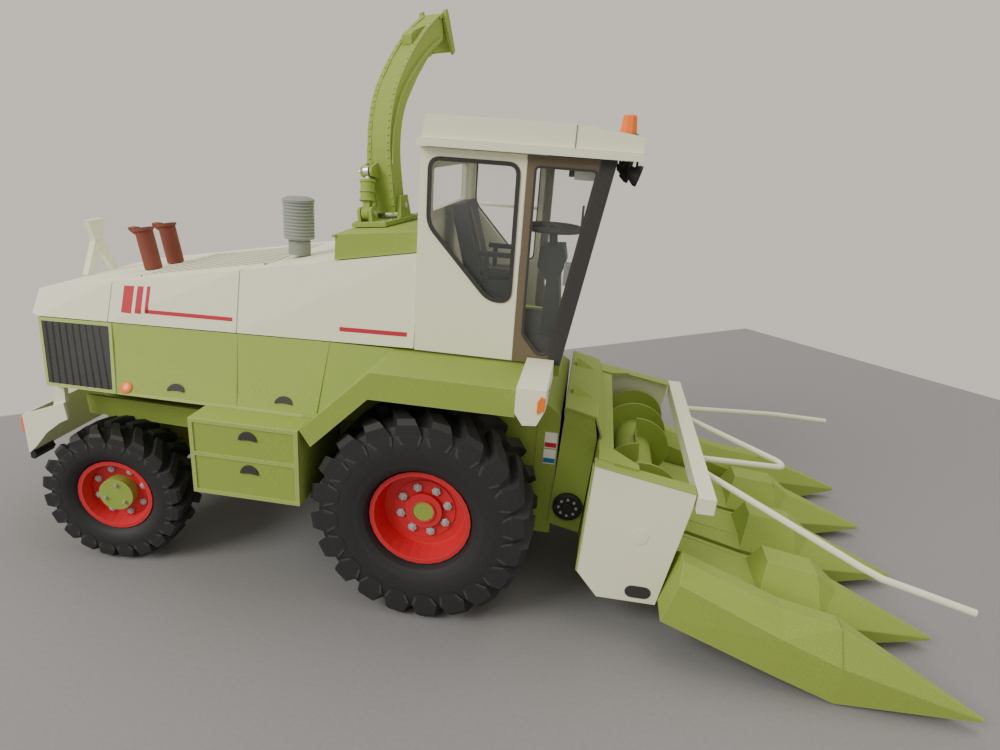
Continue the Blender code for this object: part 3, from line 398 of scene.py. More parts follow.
def repeated_mesh(name, pattern, stuff, count, centre, step=(0, 0, 0), axis=(0, 0, 1), turn=0.0):
    """The pattern mesh, drawn about its own origin in metres, repeated by the node tree."""
    model = bpy.data.objects.new(name + "_pattern", pattern)
    host = bpy.data.objects.new(name + "_host", bpy.data.meshes.new(name + "_host"))
    for thing in (model, host):
        bpy.context.scene.collection.objects.link(thing)
    repeater = host.modifiers.new("repeat", "NODES")
    repeater.node_group = repeat
    sizes = {"Pattern": model, "Count": count, "Centre": tuple(centre), "Step": tuple(step),
             "Axis": tuple(axis), "Turn": turn, "Finish": stuff}
    for label, value in sizes.items():
        repeater[socket_of[label]] = value
    depsgraph = bpy.context.evaluated_depsgraph_get()
    mesh = bpy.data.meshes.new_from_object(host.evaluated_get(depsgraph))
    mesh.name = name
    for thing in (host, model):
        bpy.data.objects.remove(thing)
    return mesh


def repeated(name, shapes, stuff, count, centre, body="machine", slot=None, turned=None, round_to=None,
             **how):
    """A piece made of one closed shape, or a few, repeated by the node tree."""
    pattern = mesh_of(name + "_one", shapes, stuff, origin=True, turned=turned)
    if round_to:
        smooth(pattern, round_to)
    return placed(name, repeated_mesh(name, pattern, stuff, count, centre, **how), body)


def lug(radius, half, sign, spacing):
    """One tread bar, from the middle of the tread over the shoulder and down the side."""
    k = radius / 31.0
    stations = (               # across, turned by, half width at the top, inner and outer radius
        (0.5, 0.0, 1.4, radius - 3.0, radius),
        (half * 0.55, 0.30 * spacing, 1.7, radius - 3.0, radius - 0.05),
        (half * 0.90, 0.58 * spacing, 2.3, radius - 3.6 * k, radius - 0.6),
        (half * 0.985, 0.64 * spacing, 2.7, radius - 5.0 * k, radius - 2.0 * k),
        (half * 0.993, 0.70 * spacing, 1.5, radius - 8.6 * k, radius - 7.4 * k),
    )
    rings = []
    for y, turn, wide, low, high in stations:
        ring = []
        for r, side, spread in ((low, -1, 1.35), (low, 1, 1.35), (high, 1, 1.0), (high, -1, 1.0)):
            a = turn + side * wide * spread * k / r
            ring.append((r * sin(a), sign * y, r * cos(a)))
        rings.append(ring)
    return skin(rings)


LUGS = 20


def tyre(name, centre, toe, radius, rim, width, body):
    """A lugged tyre whose axle lies along Y, turned by toe about the vertical."""
    half = width / 2
    turned = Matrix.Rotation(toe, 3, "Z")
    axle = turned @ Vector((0, 1, 0))
    carcass = [(rim + 0.3, half * 0.72), (rim + 1.2, half * 0.88), (rim + 3.0, half * 0.975),
               (radius * 0.74, half * 0.985), (radius * 0.84, half * 0.95), (radius - 3.0, half * 0.86),
               (radius - 2.4, half * 0.70), (radius - 2.3, 0)]
    profile = carcass + [(r, -y) for r, y in reversed(carcass[:-1])]
    drum = mesh_of(name, [lathe(profile, (0, 0, 0), axle, 60)], BLACK, origin=True)
    drum.transform(Matrix.Translation(centre))
    smooth(drum, 32)
    parts = [drum]
    spacing = tau / LUGS
    for sign, offset in ((-1, 0.0), (1, 0.5)):
        pattern = mesh_of(name + "_lug", [lug(radius, half, sign, spacing)], BLACK, origin=True,
                          turned=turned @ Matrix.Rotation(offset * spacing, 3, "Y"))
        parts.append(repeated_mesh(f"{name}_row", pattern, BLACK, LUGS, centre, axis=axle, turn=spacing))
    joined = bmesh.new()
    for part in parts:
        joined.from_mesh(part)
    joined.to_mesh(drum)
    joined.free()
    return placed(name, drum, body)


SIDES = (("r", -1), ("l", 1))
FRONT_Y, REAR_X, REAR_Y, REAR_Z, KINGPIN_Y = 40.5, -96.8, 38.8, 21.4, 27.6
TOE = radians(6.7)
wheels = {}
for side, sign in SIDES:
    wheels["front", side] = (at(0, sign * FRONT_Y, AXLE_Z), 0.0)
    reach = sign * (REAR_Y - KINGPIN_Y)
    wheels["rear", side] = (at(REAR_X - reach * sin(TOE), sign * KINGPIN_Y + reach * cos(TOE), REAR_Z), TOE)
for (end, side), (centre, toe) in wheels.items():
    sizes = (31.0, 14.2, 23.0) if end == "front" else (21.4, 11.2, 15.5)
    rubber = tyre(f"{end}_tyre_lugged_{side}", centre, toe, *sizes, f"{end}_wheel_{side}")
    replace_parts(rubber, f"{end}_tyre_{side}")

# ---------------------------------------------------------------- rims, bolts and hubs
# Deep red dishes with a bolted plate.  The front hub is a flat green disc; the rear one
# a green cap that stands out, held by three small bolts.
paint(RED, "front_rim_r", "front_rim_l", "rear_rim_r", "rear_rim_l")


def rim_piece(name, shape, stuff, end, side):
    """A shape drawn about a wheel's own centre, set on that wheel."""
    centre, toe = wheels[end, side]
    mesh = mesh_of(name, [shape], stuff, origin=True, turned=Matrix.Rotation(toe, 3, "Z"))
    mesh.transform(Matrix.Translation(centre))
    smooth(mesh, 35)
    placed(name, mesh, f"{end}_wheel_{side}")


def bolts(name, end, side, sign, circle, size, face, count, start=0.3):
    """Hexagon bolts with a round end, on a circle about the axle."""
    centre, toe = wheels[end, side]
    turned = Matrix.Rotation(toe, 3, "Z")
    place = (circle * cos(start), 0, circle * sin(start))
    head = lathe([(0, sign * (face - 0.1)), (size, sign * (face - 0.1)), (size, sign * (face + 0.7)),
                  (size * 0.9, sign * (face + 0.8)), (0, sign * (face + 0.8))], place, segments=6)
    end_of = lathe([(0, sign * face), (size * 0.5, sign * face), (size * 0.5, sign * (face + 1.0)),
                    (size * 0.4, sign * (face + 1.08)), (0, sign * (face + 1.08))], place, segments=10)
    repeated(name, [head, end_of], STEEL, count, centre, f"{end}_wheel_{side}", "red_card", turned=turned,
             axis=turned @ Vector((0, 1, 0)), turn=tau / count)


for side, sign in SIDES:
    plate = hoop(5.25, 8.7, sign * 2.3, sign * 2.75, segments=48)
    rim_piece(f"front_bolt_plate_{side}", plate, RED, "front", side)
    bolts(f"front_bolts_{side}", "front", side, sign, 6.95, 1.32, 2.75, 8)
    rim_piece(f"front_hub_disc_{side}", disc(2.9, sign * 4.15, sign * 4.45), GREEN, "front", side)
    rim_piece(f"front_hub_ring_{side}", hoop(3.0, 3.35, sign * 4.15, sign * 4.7), RED, "front", side)
    cap = [(0, 4.25), (4.75, 4.25), (4.75, 2.0), (5.05, 2.0), (5.05, 5.3), (0, 5.3)]
    cap = lathe([(r, sign * y) for r, y in cap], segments=48)
    rim_piece(f"rear_hub_cap_{side}", cap, GREEN, "rear", side)
    bolts(f"rear_bolts_{side}", "rear", side, sign, 7.35, 1.1, 1.95, 8)
    bolts(f"rear_cap_bolts_{side}", "rear", side, sign, 3.3, 0.55, 5.2, 3, start=1.4)

# ---------------------------------------------------------------- green lower body
# Sloping side panels of green card, scored at the panel joints.  A black cooling grille
# with upright ribs fills the rear end of each, and dark half-round pulls are glued low
# down.  The cab's ladder, two stringers and four treads, hangs on the left.
paint(GREEN, "lower_body", "turret", "fender_r", "fender_l", "storage_box_r", "storage_box_l")
STRINGERS, TREADS = (33.7, 42.6), (37.6, 47.2, 56.8, 66.4)
ladder = [solid_block((24.4, y, 37.0), (30.6, y + 0.9, 72.6)) for y in STRINGERS]
ladder += [solid_block((24.8, 34.6, z), (30.4, 42.6, z + 0.9)) for z in TREADS]
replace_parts(made("ladder_steps", ladder, GREEN, soft=0.06), "ladder")
SKIRT_HALF, SKIRT_Z, SEAM_HALF = 44.0, 54.5, 33.0
SKIRT_TAIL_X, TAIL_X = -112.0, -121.4


def seam_z(x):
    return 71.1 + (x - TAIL_X) * 0.0247


def side_at(x, share, sign):
    """A point on a green side panel; share runs from its lower edge to the seam."""
    return Vector((x, sign * (SKIRT_HALF - share * (SKIRT_HALF - SEAM_HALF)),
                   SKIRT_Z + share * (seam_z(x) - SKIRT_Z)))


def side_out(sign):
    return Vector((0, sign * (seam_z(-80) - SKIRT_Z), SKIRT_HALF - SEAM_HALF)).normalized()


def tail_x(share):
    return SKIRT_TAIL_X + share * (TAIL_X - SKIRT_TAIL_X)


def half_round(width, height, steps=10):
    """Outline of a pull: an arch over a slightly hollow lower edge."""
    arch = [(cos(pi * k / steps) * width / 2, sin(pi * k / steps) * height) for k in range(steps + 1)]
    hollow = [(-width / 2 + width * k / 4, 0.32 * sin(pi * k / 4)) for k in range(1, 4)]
    return arch + hollow


GRILLE_LOW, GRILLE_HIGH = 0.045, 0.945
PULLS = ((-73.0, 0.13), (-41.1, 0.135))
RIBS, SLATS = 9, 24
PANEL_TOP = 0.995


def grille_rear(share):
    return tail_x(share) + 1.0


def grille_front(share):
    return -91.2 - share * 7.4


def border_rear(share):
    return tail_x(share) + 0.1


def border_front(share):
    return grille_front(share) + 0.9


def side_bar(sign, low, high, rear, front, thick):
    """A strip on a side panel between two shares; rear and front are X, or give it at a share."""
    corners = []
    for edge, share in ((rear, low), (front, low), (front, high), (rear, high)):
        corners.append(side_at(edge(share) if callable(edge) else edge, share, sign))
    return sheet_of(corners, side_out(sign), thick)


for side, sign in SIDES:
    low, high = GRILLE_LOW, GRILLE_HIGH
    made(f"grille_field_{side}", [side_bar(sign, low, high, grille_rear, grille_front, 0.1)], BLACK)
    foot, head = side_at(grille_rear(low), low, sign), side_at(grille_rear(high), high, sign)
    out = side_out(sign)
    wide = grille_front(low) - grille_rear(low)
    rib_edge = Vector((0.45, 0, 0))
    rib = skin([[p - rib_edge, p + out * 0.6, p + rib_edge] for p in (Vector((0, 0, 0)), head - foot)])
    repeated(f"grille_ribs_{side}", [rib], DARK, RIBS, at(foot.x + 1.3, foot.y, foot.z),
             step=((wide - 2.6) / (RIBS - 1) * MM, 0, 0))
    slat = [Vector((0, 0, 0)), (head - foot) * 0.013, out * 0.26]
    slat = skin([[Vector((x, 0, 0)) + p for p in slat] for x in (0.2, wide - 0.4)])
    repeated(f"grille_slats_{side}", [slat], DARK, SLATS, at(*foot),
             step=(head - foot) * (MM / (SLATS + 0.3)))
    made(f"grille_border_{side}", [side_bar(sign, *edges, 0.3) for edges in (
        (0.0, low, border_rear, border_front), (high, PANEL_TOP, border_rear, border_front),
        (low, high, grille_front, border_front), (low, high, border_rear, grille_rear))], EDGE_GREEN)
    score = [lambda share, x=x: x - 4.5 * share / 0.99 for x in (-54.3, -54.05)]
    made(f"side_scores_{side}", [side_bar(sign, 0.0, 0.99, *score, 0.03)], SHADE_AND_JOINT_GREEN)
    made(f"side_lower_lip_{side}", [side_bar(sign, 0.0, 0.035, -89.0, -34.8, 0.16)], EDGE_GREEN)
    made(f"fender_joint_cover_{side}", [side_bar(sign, 0.0, PANEL_TOP, -35.2, -31.2, 0.07)], SMOOTH_GREEN)
    pulls = []
    for x, share in PULLS:
        foot = side_at(x, share, sign)
        rise = (side_at(x, share + 0.2, sign) - foot).normalized()
        shape = [foot + Vector((1, 0, 0)) * u + rise * v for u, v in half_round(5.2, 2.3)]
        pulls.append(sheet_of(shape, side_out(sign), 0.35))
    made(f"side_pulls_{side}", pulls, DARK, soft=0.08)
    reflector = [(0, -0.05), (1.7, -0.05), (1.7, 0.3), (1.4, 0.45), (0, 0.5)]
    reflector = lathe(reflector, side_at(-87.8, 0.10, sign), side_out(sign), 28)
    made(f"side_reflector_{side}", [reflector], AMBER, round_to=40)

# ---------------------------------------------------------------- storage boxes
# A green card box hangs below each side, with two drawer fronts framed by raised strips
# and a dark half-round pull on each.
BOX_BACK, BOX_FRONT, BOX_LOW, BOX_HIGH, BOX_Y = -63.0, -32.3, 32.5, 54.7, 53.0
FRAME_WIDE, BOX_MIDDLE = 1.1, 44.4
for side, sign in SIDES:
    strips = []
    low, high, half = BOX_LOW + FRAME_WIDE, BOX_HIGH - FRAME_WIDE, FRAME_WIDE / 2
    back, front = BOX_BACK + FRAME_WIDE, BOX_FRONT - FRAME_WIDE
    for x0, z0, x1, z1 in ((BOX_BACK, BOX_LOW, BOX_FRONT, low), (BOX_BACK, high, BOX_FRONT, BOX_HIGH),
                           (BOX_BACK, low, back, high), (front, low, BOX_FRONT, high),
                           (back, BOX_MIDDLE - half, front, BOX_MIDDLE + half)):
        strips.append(solid_block((x0, sign * 52.9, z0), (x1, sign * 53.35, z1)))
    made(f"drawer_frames_{side}", strips, EDGE_GREEN)
    pulls = []
    for z in (50.0, 40.1):
        shape = [(-46.4 + u, sign * BOX_Y, z + v) for u, v in half_round(5.2, 2.7)]
        pulls.append(sheet_of(shape, (0, sign, 0), 0.5))
    made(f"drawer_pulls_{side}", pulls, DARK, soft=0.1)

# ---------------------------------------------------------------- cream hood
# Three cream boxes end to end, with red ink bars and lines on the sides and a raised
# lattice over the cooling vent in the deck.
paint(CREAM, "hood_rear", "hood_middle", "hood_front", "handrail", "cab_rear_wall", "cab_roof", "spout_rest",
      "header_side_r", "header_side_l", "guard_bar")
HOOD_HALF = 29.0
DECK_RISE = 0.184           # the deck's climb towards the cab, for each millimetre forward


def hood_z(x):
    return 78.7 + (x - TAIL_X) * DECK_RISE


def hood_at(x, z, sign):
    share = (z - seam_z(x)) / (hood_z(x) - seam_z(x))
    return Vector((x, sign * (SEAM_HALF - share * (SEAM_HALF - HOOD_HALF)), z))


def surface_tree(*names):
    """The carried CAD pieces as one search tree, in the shared frame."""
    points, faces = [], []
    for name in names:
        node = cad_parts[name]
        shift = len(points)
        points += [node.matrix_world @ v.co for v in node.data.vertices]
        faces += [tuple(i + shift for i in face.vertices) for face in node.data.polygons]
    return BVHTree.FromPolygons(points, faces)


def laid_on(tree, corners, start, heading, thick, across=1, down_steps=1):
    """A thin patch that follows a surface: four corners, cast from start along heading."""
    heading = Vector(heading)
    first, second, third, fourth = (Vector(c) for c in corners)
    rings = []
    for i in range(across + 1):
        high, low = first.lerp(second, i / across), fourth.lerp(third, i / across)
        above, below_skin = [], []
        for j in range(down_steps + 1):
            spot = high.lerp(low, j / down_steps)
            hit, normal = tree.ray_cast(at(*spot) - heading * start * MM, heading)[:2]
            spot = Vector((hit.x / MM - AXLE_X, hit.y / MM, hit.z / MM)) if hit else spot
            normal = normal or -heading
            above.append(spot + normal * thick)
            below_skin.insert(0, spot - normal * 0.12)
        rings.append(above + below_skin)
    return skin(rings)


hood_skin = surface_tree("hood_rear", "hood_middle", "hood_front")
STRIPES = (                 # rear, front, low and high edges at the rear, low and high at the front
    (-94.9, -91.6, 75.0, 82.4, 75.0, 82.6), (-90.5, -88.5, 75.2, 82.7, 75.2, 82.8),
    (-87.4, -86.3, 75.5, 83.0, 75.5, 83.0), (-87.4, -60.4, 75.5, 76.6, 76.0, 77.1),
    (-28.6, -9.3, 76.7, 77.9, 77.2, 78.4),
)
STRIPE_ROWS, STRIPE_THICK = 10, 0.05
for side, sign in SIDES:
    bars = []
    for rear, front, low_r, high_r, low_f, high_f in STRIPES:
        corners = [hood_at(x, z, sign)
                   for x, z in ((rear, low_r), (front, low_f), (front, high_f), (rear, high_r))]
        across = max(1, round((front - rear) / 2))
        bars.append(laid_on(hood_skin, corners, 20.0, (0, -sign, 0), STRIPE_THICK, across, STRIPE_ROWS))
    made(f"hood_stripes_{side}", bars, INK_RED)

DECK_OUT = Vector((-DECK_RISE, 0, 1)).normalized()
CELL = 3.0
cross = []
for turn in (1, -1):
    ends = (Vector((-CELL / 2, -turn * CELL / 2, -DECK_RISE * CELL / 2)),
            Vector((CELL / 2, turn * CELL / 2, DECK_RISE * CELL / 2)))
    aside = (ends[1] - ends[0]).cross(DECK_OUT).normalized() * 0.28
    strand = [ends[0] - aside, ends[1] - aside, ends[1] + aside, ends[0] + aside]
    cross.append(sheet_of(strand, DECK_OUT, 0.22))
vent_row = mesh_of("vent_cell", cross, CREAM, origin=True)
vent_row = repeated_mesh("vent_row", vent_row, CREAM, 13, (0, 0, 0),
                         step=(CELL * MM, 0, CELL * DECK_RISE * MM))
vent_mesh = repeated_mesh("deck_vent_lattice", vent_row, CREAM, 14, at(-93.0, -19.5, hood_z(-93.0)),
                          step=(0, CELL * MM, 0))
placed("deck_vent_lattice", vent_mesh, "machine")
vent_frame = []
for x0, x1, y0, y1 in ((-95.3, -94.6, -21.3, 21.3), (-55.6, -54.9, -21.3, 21.3), (-95.3, -54.9, -21.3, -20.6),
                       (-95.3, -54.9, 20.6, 21.3)):
    border = [(x, y, hood_z(x)) for x, y in ((x0, y0), (x1, y0), (x1, y1), (x0, y1))]
    vent_frame.append(sheet_of(border, DECK_OUT, 0.3))
made("deck_vent_frame", vent_frame, CREAM)
vent_field = [(-94.8, -20.9), (-55.2, -20.9), (-55.2, 20.9), (-94.8, 20.9)]
made("deck_vent_field", [sheet_of([(x, y, hood_z(x)) for x, y in vent_field], DECK_OUT, 0.05)], GREY)

# ---------------------------------------------------------------- on the deck
# Two rolled rust-brown stacks with a lip, a ribbed grey pre-cleaner on a neck, and the
# cream forked post that carries the spout on the road.
paint(RUST, "exhaust_r", "exhaust_l")
paint(GREY, "pre_cleaner")
STACK_X, STACK_Y = -101.4, 6.0
lean = atan2(DECK_RISE, 1)
stack_axis = Vector((-sin(lean), 0, cos(lean)))
for side, sign in SIDES:
    foot = Vector((STACK_X, sign * STACK_Y, hood_z(STACK_X) + 0.3))
    collar = [(2.5, 12.2), (3.15, 12.2), (3.15, 13.05), (2.5, 13.05)]
    made(f"stack_collar_{side}", [lathe(collar, foot, stack_axis)], RUST, round_to=35)
    made(f"stack_mouth_{side}", [disc(2.2, 12.9, 13.12, foot, stack_axis)], BLACK, slot="exhaust_card")
    beak = [foot + stack_axis * h + Vector((x, 0, 0))
            for x, h in ((-2.0, 10.2), (-4.3, 12.0), (-4.3, 13.0), (-2.0, 13.0))]
    made(f"stack_lip_{side}", [skin([[p + Vector((0, y, 0)) for p in beak] for y in (-1.5, 1.5)])], RUST,
         soft=0.15)
CLEANER = Vector((-49.6, -10.0, hood_z(-46.7) + 0.3))
cleaner = [(0, 0), (3.0, 0), (3.0, 4.6), (4.35, 4.8), (4.35, 15.6), (4.7, 15.6), (4.7, 16.3), (3.4, 16.9),
           (0, 17.0)]
cleaner = made("pre_cleaner_body", [lathe(cleaner, CLEANER, (0, 0, 1), 44)], GREY, round_to=30)
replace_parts(cleaner, "pre_cleaner")
rib_ring = [(4.3, -0.32), (4.62, -0.12), (4.62, 0.12), (4.3, 0.32)]
repeated("pre_cleaner_ribs", [lathe(rib_ring, axis=(0, 0, 1), segments=36)], GREY, 11,
         at(*(CLEANER + Vector((0, 0, 5.4)))), round_to=60, step=(0, 0, 0.96 * MM))
made("pre_cleaner_neck_ring", [hoop(2.9, 3.25, 0.0, 4.0, CLEANER, (0, 0, 1), 36)],
     GREY, round_to=35)
made("rest_seam", [solid_block((-126.5, -1.9, 88.9), (-124.3, 1.9, 89.3))], CREAM)

# ---------------------------------------------------------------- bumper and lamps
# The folded cream rear bumper carries an amber lamp at each end, over a black foot; the
# front lamp boxes have an amber side lamp and a pale headlamp face.
BUMPER_HALF = 41.0
BUMPER = ((-124.9, 42.4), (-110.4, 48.0), (-109.8, 42.8), (-112.6, 41.3), (-117.6, 37.3), (-121.9, 32.2),
          (-124.7, 29.6))
back = [(-124.9, 42.4), (-123.7, 42.85), (-123.5, 30.2), (-124.7, 29.4)]
bumper = [along(back, "y", 1.0 - BUMPER_HALF, BUMPER_HALF - 1.0)]
FOOT = ((-124.6, 30.2), (-123.2, 30.6), (-122.5, 29.2), (-123.4, 27.7), (-124.6, 28.0))
BRACKET = ((-114.5, 46.2), (-110.3, 47.9), (-110.0, 54.6), (-113.0, 54.6))
SIDE_PLATE = ((-110.0, 47.5), (-64.0, 47.0), (-64.0, 40.6), (-109.6, 41.6))
for side, sign in SIDES:
    bumper.append(along(BUMPER, "y", sign * (BUMPER_HALF - 1.0), sign * BUMPER_HALF))
    made(f"tail_lamp_{side}", [solid_block((-126.3, sign * 35.6, 36.2), (-124.7, sign * 40.4, 41.4))],
         AMBER, soft=0.3)
    made(f"bumper_foot_{side}", [along(FOOT, "y", sign * 33.0, sign * 40.8)], BLACK, soft=0.1)
    made(f"bumper_bracket_{side}", [along(BRACKET, "y", sign * 38.6, sign * 40.2)], CREAM, soft=0.08)
    made(f"chassis_side_plate_{side}", [along(SIDE_PLATE, "y", sign * 31.0, sign * 32.2)], GREEN)
bumper = made("rear_bumper_folded", bumper, CREAM, soft=0.08)
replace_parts(bumper, "rear_bumper")
LAMP_BOX = ((24.3, 75.5), (31.5, 75.5), (31.6, 70.4), (29.8, 66.3), (26.4, 66.0), (24.3, 69.0))
for side, sign in SIDES:
    inner = 33.5 if sign < 0 else 44.0
    box = made(f"lamp_box_{side}", [along(LAMP_BOX, "y", sign * inner, sign * 57.5)], CREAM, soft=0.12)
    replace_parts(box, f"light_box_{side}")
    middle = sign * 50.2
    lens = solid_block((31.4, middle - 4.2, 70.9), (31.75, middle + 4.2, 74.9))
    made(f"headlamp_lens_{side}", [lens], LENS, slot="cream_card", soft=0.12)
    lamp_side = [(29.6, 69.6), (31.4, 70.6), (31.4, 73.6), (30.4, 74.0), (29.6, 72.6)]
    made(f"side_lamp_{side}", [along(lamp_side, "y", sign * 57.4, sign * 58.0)], AMBER, soft=0.1)

# ---------------------------------------------------------------- cab shell
# Cream and brown card panels with film windows.  Each opening has a printed dark rubber
# seal, and the roof has a folded lip and a joint across it.
paint(BROWN, "door_frame_r", "door_frame_l")
paint(DARK, "windscreen_frame")
paint(FILM, "side_glass_r", "side_glass_l", "windscreen_glass")
CAB_HALF, CAB_LOW, CAB_HIGH = 33.0, 74.0, 127.0


def windscreen_x(z):
    return 33.0 + (z - CAB_LOW) / (CAB_HIGH - CAB_LOW) * 8.8


def rounded(outline, radius, steps=5):
    """The outline with each corner replaced by a smooth curve that starts radius before it."""
    result = []
    for i, corner in enumerate(outline):
        corner = Vector(corner)
        before = corner + (Vector(outline[i - 1]) - corner).normalized() * radius
        after = corner + (Vector(outline[(i + 1) % len(outline)]) - corner).normalized() * radius
        for k in range(steps + 1):
            t = k / steps
            result.append(before * (1 - t) ** 2 + corner * 2 * t * (1 - t) + after * t ** 2)
    return result


def border_of(outline, grow, shrink):
    """Two outlines either side of one: every point moved along the outline's normal."""
    count = len(outline)
    turn = sum(outline[i - 1].x * outline[i].y - outline[i].x * outline[i - 1].y for i in range(count))
    side = 1 if turn > 0 else -1
    outer, inner = [], []
    for i, p in enumerate(outline):
        heading = (outline[(i + 1) % count] - outline[i - 1]).normalized()
        normal = Vector((heading.y, -heading.x)) * side
        outer.append(p + normal * grow)
        inner.append(p - normal * shrink)
    return outer, inner


def seal(outline, grow, shrink, y, depth):
    """A flat ring around a window, standing off a side wall."""
    outer, inner = border_of(outline, grow, shrink)
    low, high = y, y + depth
    return skin([[(p.x, low, p.y) for p in outer], [(p.x, high, p.y) for p in outer],
                 [(p.x, high, p.y) for p in inner], [(p.x, low, p.y) for p in inner]], closed=True)


def door_edge(z, inset=0.0):
    return windscreen_x(z) - 1.7 - inset


def pierced(outer, hole, inside, low, high):
    """A side panel between two Y planes with one hole, fanned out from a point inside it."""
    def crossing(polygon, ray):
        for i, p in enumerate(polygon):
            hit = intersect_line_line_2d(inside, inside + ray.normalized() * 100, p,
                                         polygon[(i + 1) % len(polygon)])
            if hit:
                return hit
    pairs = [(p, crossing(outer, p - inside)) for p in hole]
    pairs += [(crossing(hole, Vector(c) - inside), Vector(c)) for c in outer]
    pairs.sort(key=lambda pair: atan2(pair[1].y - inside.y, pair[1].x - inside.x))
    rims = [pair[1] for pair in pairs], [pair[0] for pair in pairs]
    return skin([[(p.x, y, p.y) for p in rims[which]]
                 for which, y in ((0, low), (0, high), (1, high), (1, low))], closed=True)


side_window = rounded([(-4.2, 124.5), (-4.2, 108.2), (12.6, 90.0), (18.2, 90.0), (18.2, 124.5)], 2.7)
door_window = rounded([(22.3, 124.4), (22.3, 81.5), (26.6, 76.4), (door_edge(76.4, 2.2), 76.4),
                       (door_edge(124.4, 2.2), 124.4)], 1.2)
for side, sign in SIDES:
    outer = [(-7.0, CAB_LOW), (19.9, CAB_LOW), (19.9, CAB_HIGH), (-7.0, CAB_HIGH)]
    panel = pierced(outer, side_window, Vector((9.0, 110.0)), sign * 31.6, sign * CAB_HALF)
    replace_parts(made(f"cab_panel_{side}", [panel], CREAM), f"cab_side_{side}")
    made(f"side_window_seal_{side}", [seal(side_window, 0.55, 0.55, sign * 32.9, sign * 0.4)], DARK)
    made(f"door_window_seal_{side}", [seal(door_window, 0.25, 0.35, sign * 32.9, sign * 0.3)], DARK)
    pillar = [(windscreen_x(z) + x, z)
              for x, z in ((-3.7, CAB_LOW), (0.15, CAB_LOW), (0.15, CAB_HIGH), (-3.7, CAB_HIGH))]
    made(f"screen_pillar_{side}", [along(pillar, "y", sign * 32.95, sign * 33.3)], DARK)
    joint = solid_block((19.75, sign * 32.9, CAB_LOW), (20.05, sign * 33.08, CAB_HIGH))
    made(f"panel_joint_{side}", [joint], CREAM)
    joint = solid_block((31.4, sign * 34.6, 129.3), (31.6, sign * 34.95, 134.6))
    made(f"roof_joint_{side}", [joint], BROWN)
made("rear_pane", [solid_block((-5.5, -25.0, 108.0), (-5.2, 25.0, 124.0))], FILM)
rear_window = rounded([(-24, 109), (24, 109), (24, 123), (-24, 123)], 2.4)
outer, inner = border_of(rear_window, 0.8, 0.4)
rings = [[(x, p.x, p.y) for p in ring]
         for x, ring in ((-7.3, outer), (-6.9, outer), (-6.9, inner), (-7.3, inner))]
made("rear_window_seal", [skin(rings, closed=True)], DARK)
made("roof_joint", [solid_block((31.4, -34.7, 134.7), (31.6, 34.7, 134.96))], BROWN)

# ---------------------------------------------------------------- inside the cab
# A dark card seat with a belt, a steering column with its wheel, a mirror box and wipers
# at the screen, and a small grey switch box on it.
paint(DARK, "seat", "steering_column")
back = [(3.4, 90.4), (2.0, 96.0), (-1.0, 108.6), (0.7, 110.2), (2.1, 105.0), (5.6, 93.0), (7.4, 91.4)]
squab = [(6.8, 90.6), (17.2, 91.4), (17.0, 92.6), (8.2, 92.2)]
made("seat_pads", [along(back, "y", -7.6, 7.6), along(squab, "y", -7.8, 7.8)], BLACK, soft=0.5)
belt = [[(x, -4.6, z), (x, -2.6, z), (x + 0.45, -2.6, z + 0.1), (x + 0.45, -4.6, z + 0.1)]
        for x, z in ((0.9, 110.2), (2.6, 104.8), (4.9, 97.0), (7.4, 93.2), (15.2, 92.9))]
made("seat_belt", [skin(belt)], BROWN)
made("arm_rests", [solid_block((5.5, y, 97.2), (15.0, y + 1.8, 98.6)) for y in (-9.6, 7.8)] +
     [solid_block((7.0, y, 88.0), (8.4, y + 1.4, 97.4)) for y in (-9.4, 8.0)], BLACK, soft=0.3)
hub = lathe([(0, -1.2), (1.8, -1.2), (2.4, 0.3), (1.6, 0.9), (0, 1.0)], (26, 0, 106), (0, 0, 1), 24)
made("steering_hub", [hub], BLACK, round_to=35)
made("mirror_box", [solid_block((31.6, -26.5, 121.6), (37.0, -12.0, 124.8))], WHITE, slot="dark_card",
     soft=0.2)
made("mirror_box_frame", [solid_block((31.0, -27.1, 124.8), (38.2, -11.4, 126.0)),
                          solid_block((30.2, -26.0, 122.2), (31.5, -12.5, 125.2))],
     DARK, soft=0.15)
made("wipers", [wire([(windscreen_x(z) - 3.4, y, z) for z in (123.5, 117.0, 110.0)], 0.28, 8)
                for y in (-21.0, -15.0)] +
     [solid_block((windscreen_x(106) - 3.9, -21.3, 102.0), (windscreen_x(106) - 3.3, -20.7, 115.0))],
     BLACK)
made("switch_box", [solid_block((windscreen_x(98) - 5.6, -28.0, 94.6),
                                (windscreen_x(98) - 3.0, -24.5, 100.4))], GREY, soft=0.2)
made("cab_floor_mat", [solid_block((-4.8, -26.0, 73.9), (30.0, 26.0, 74.2))], DARK)

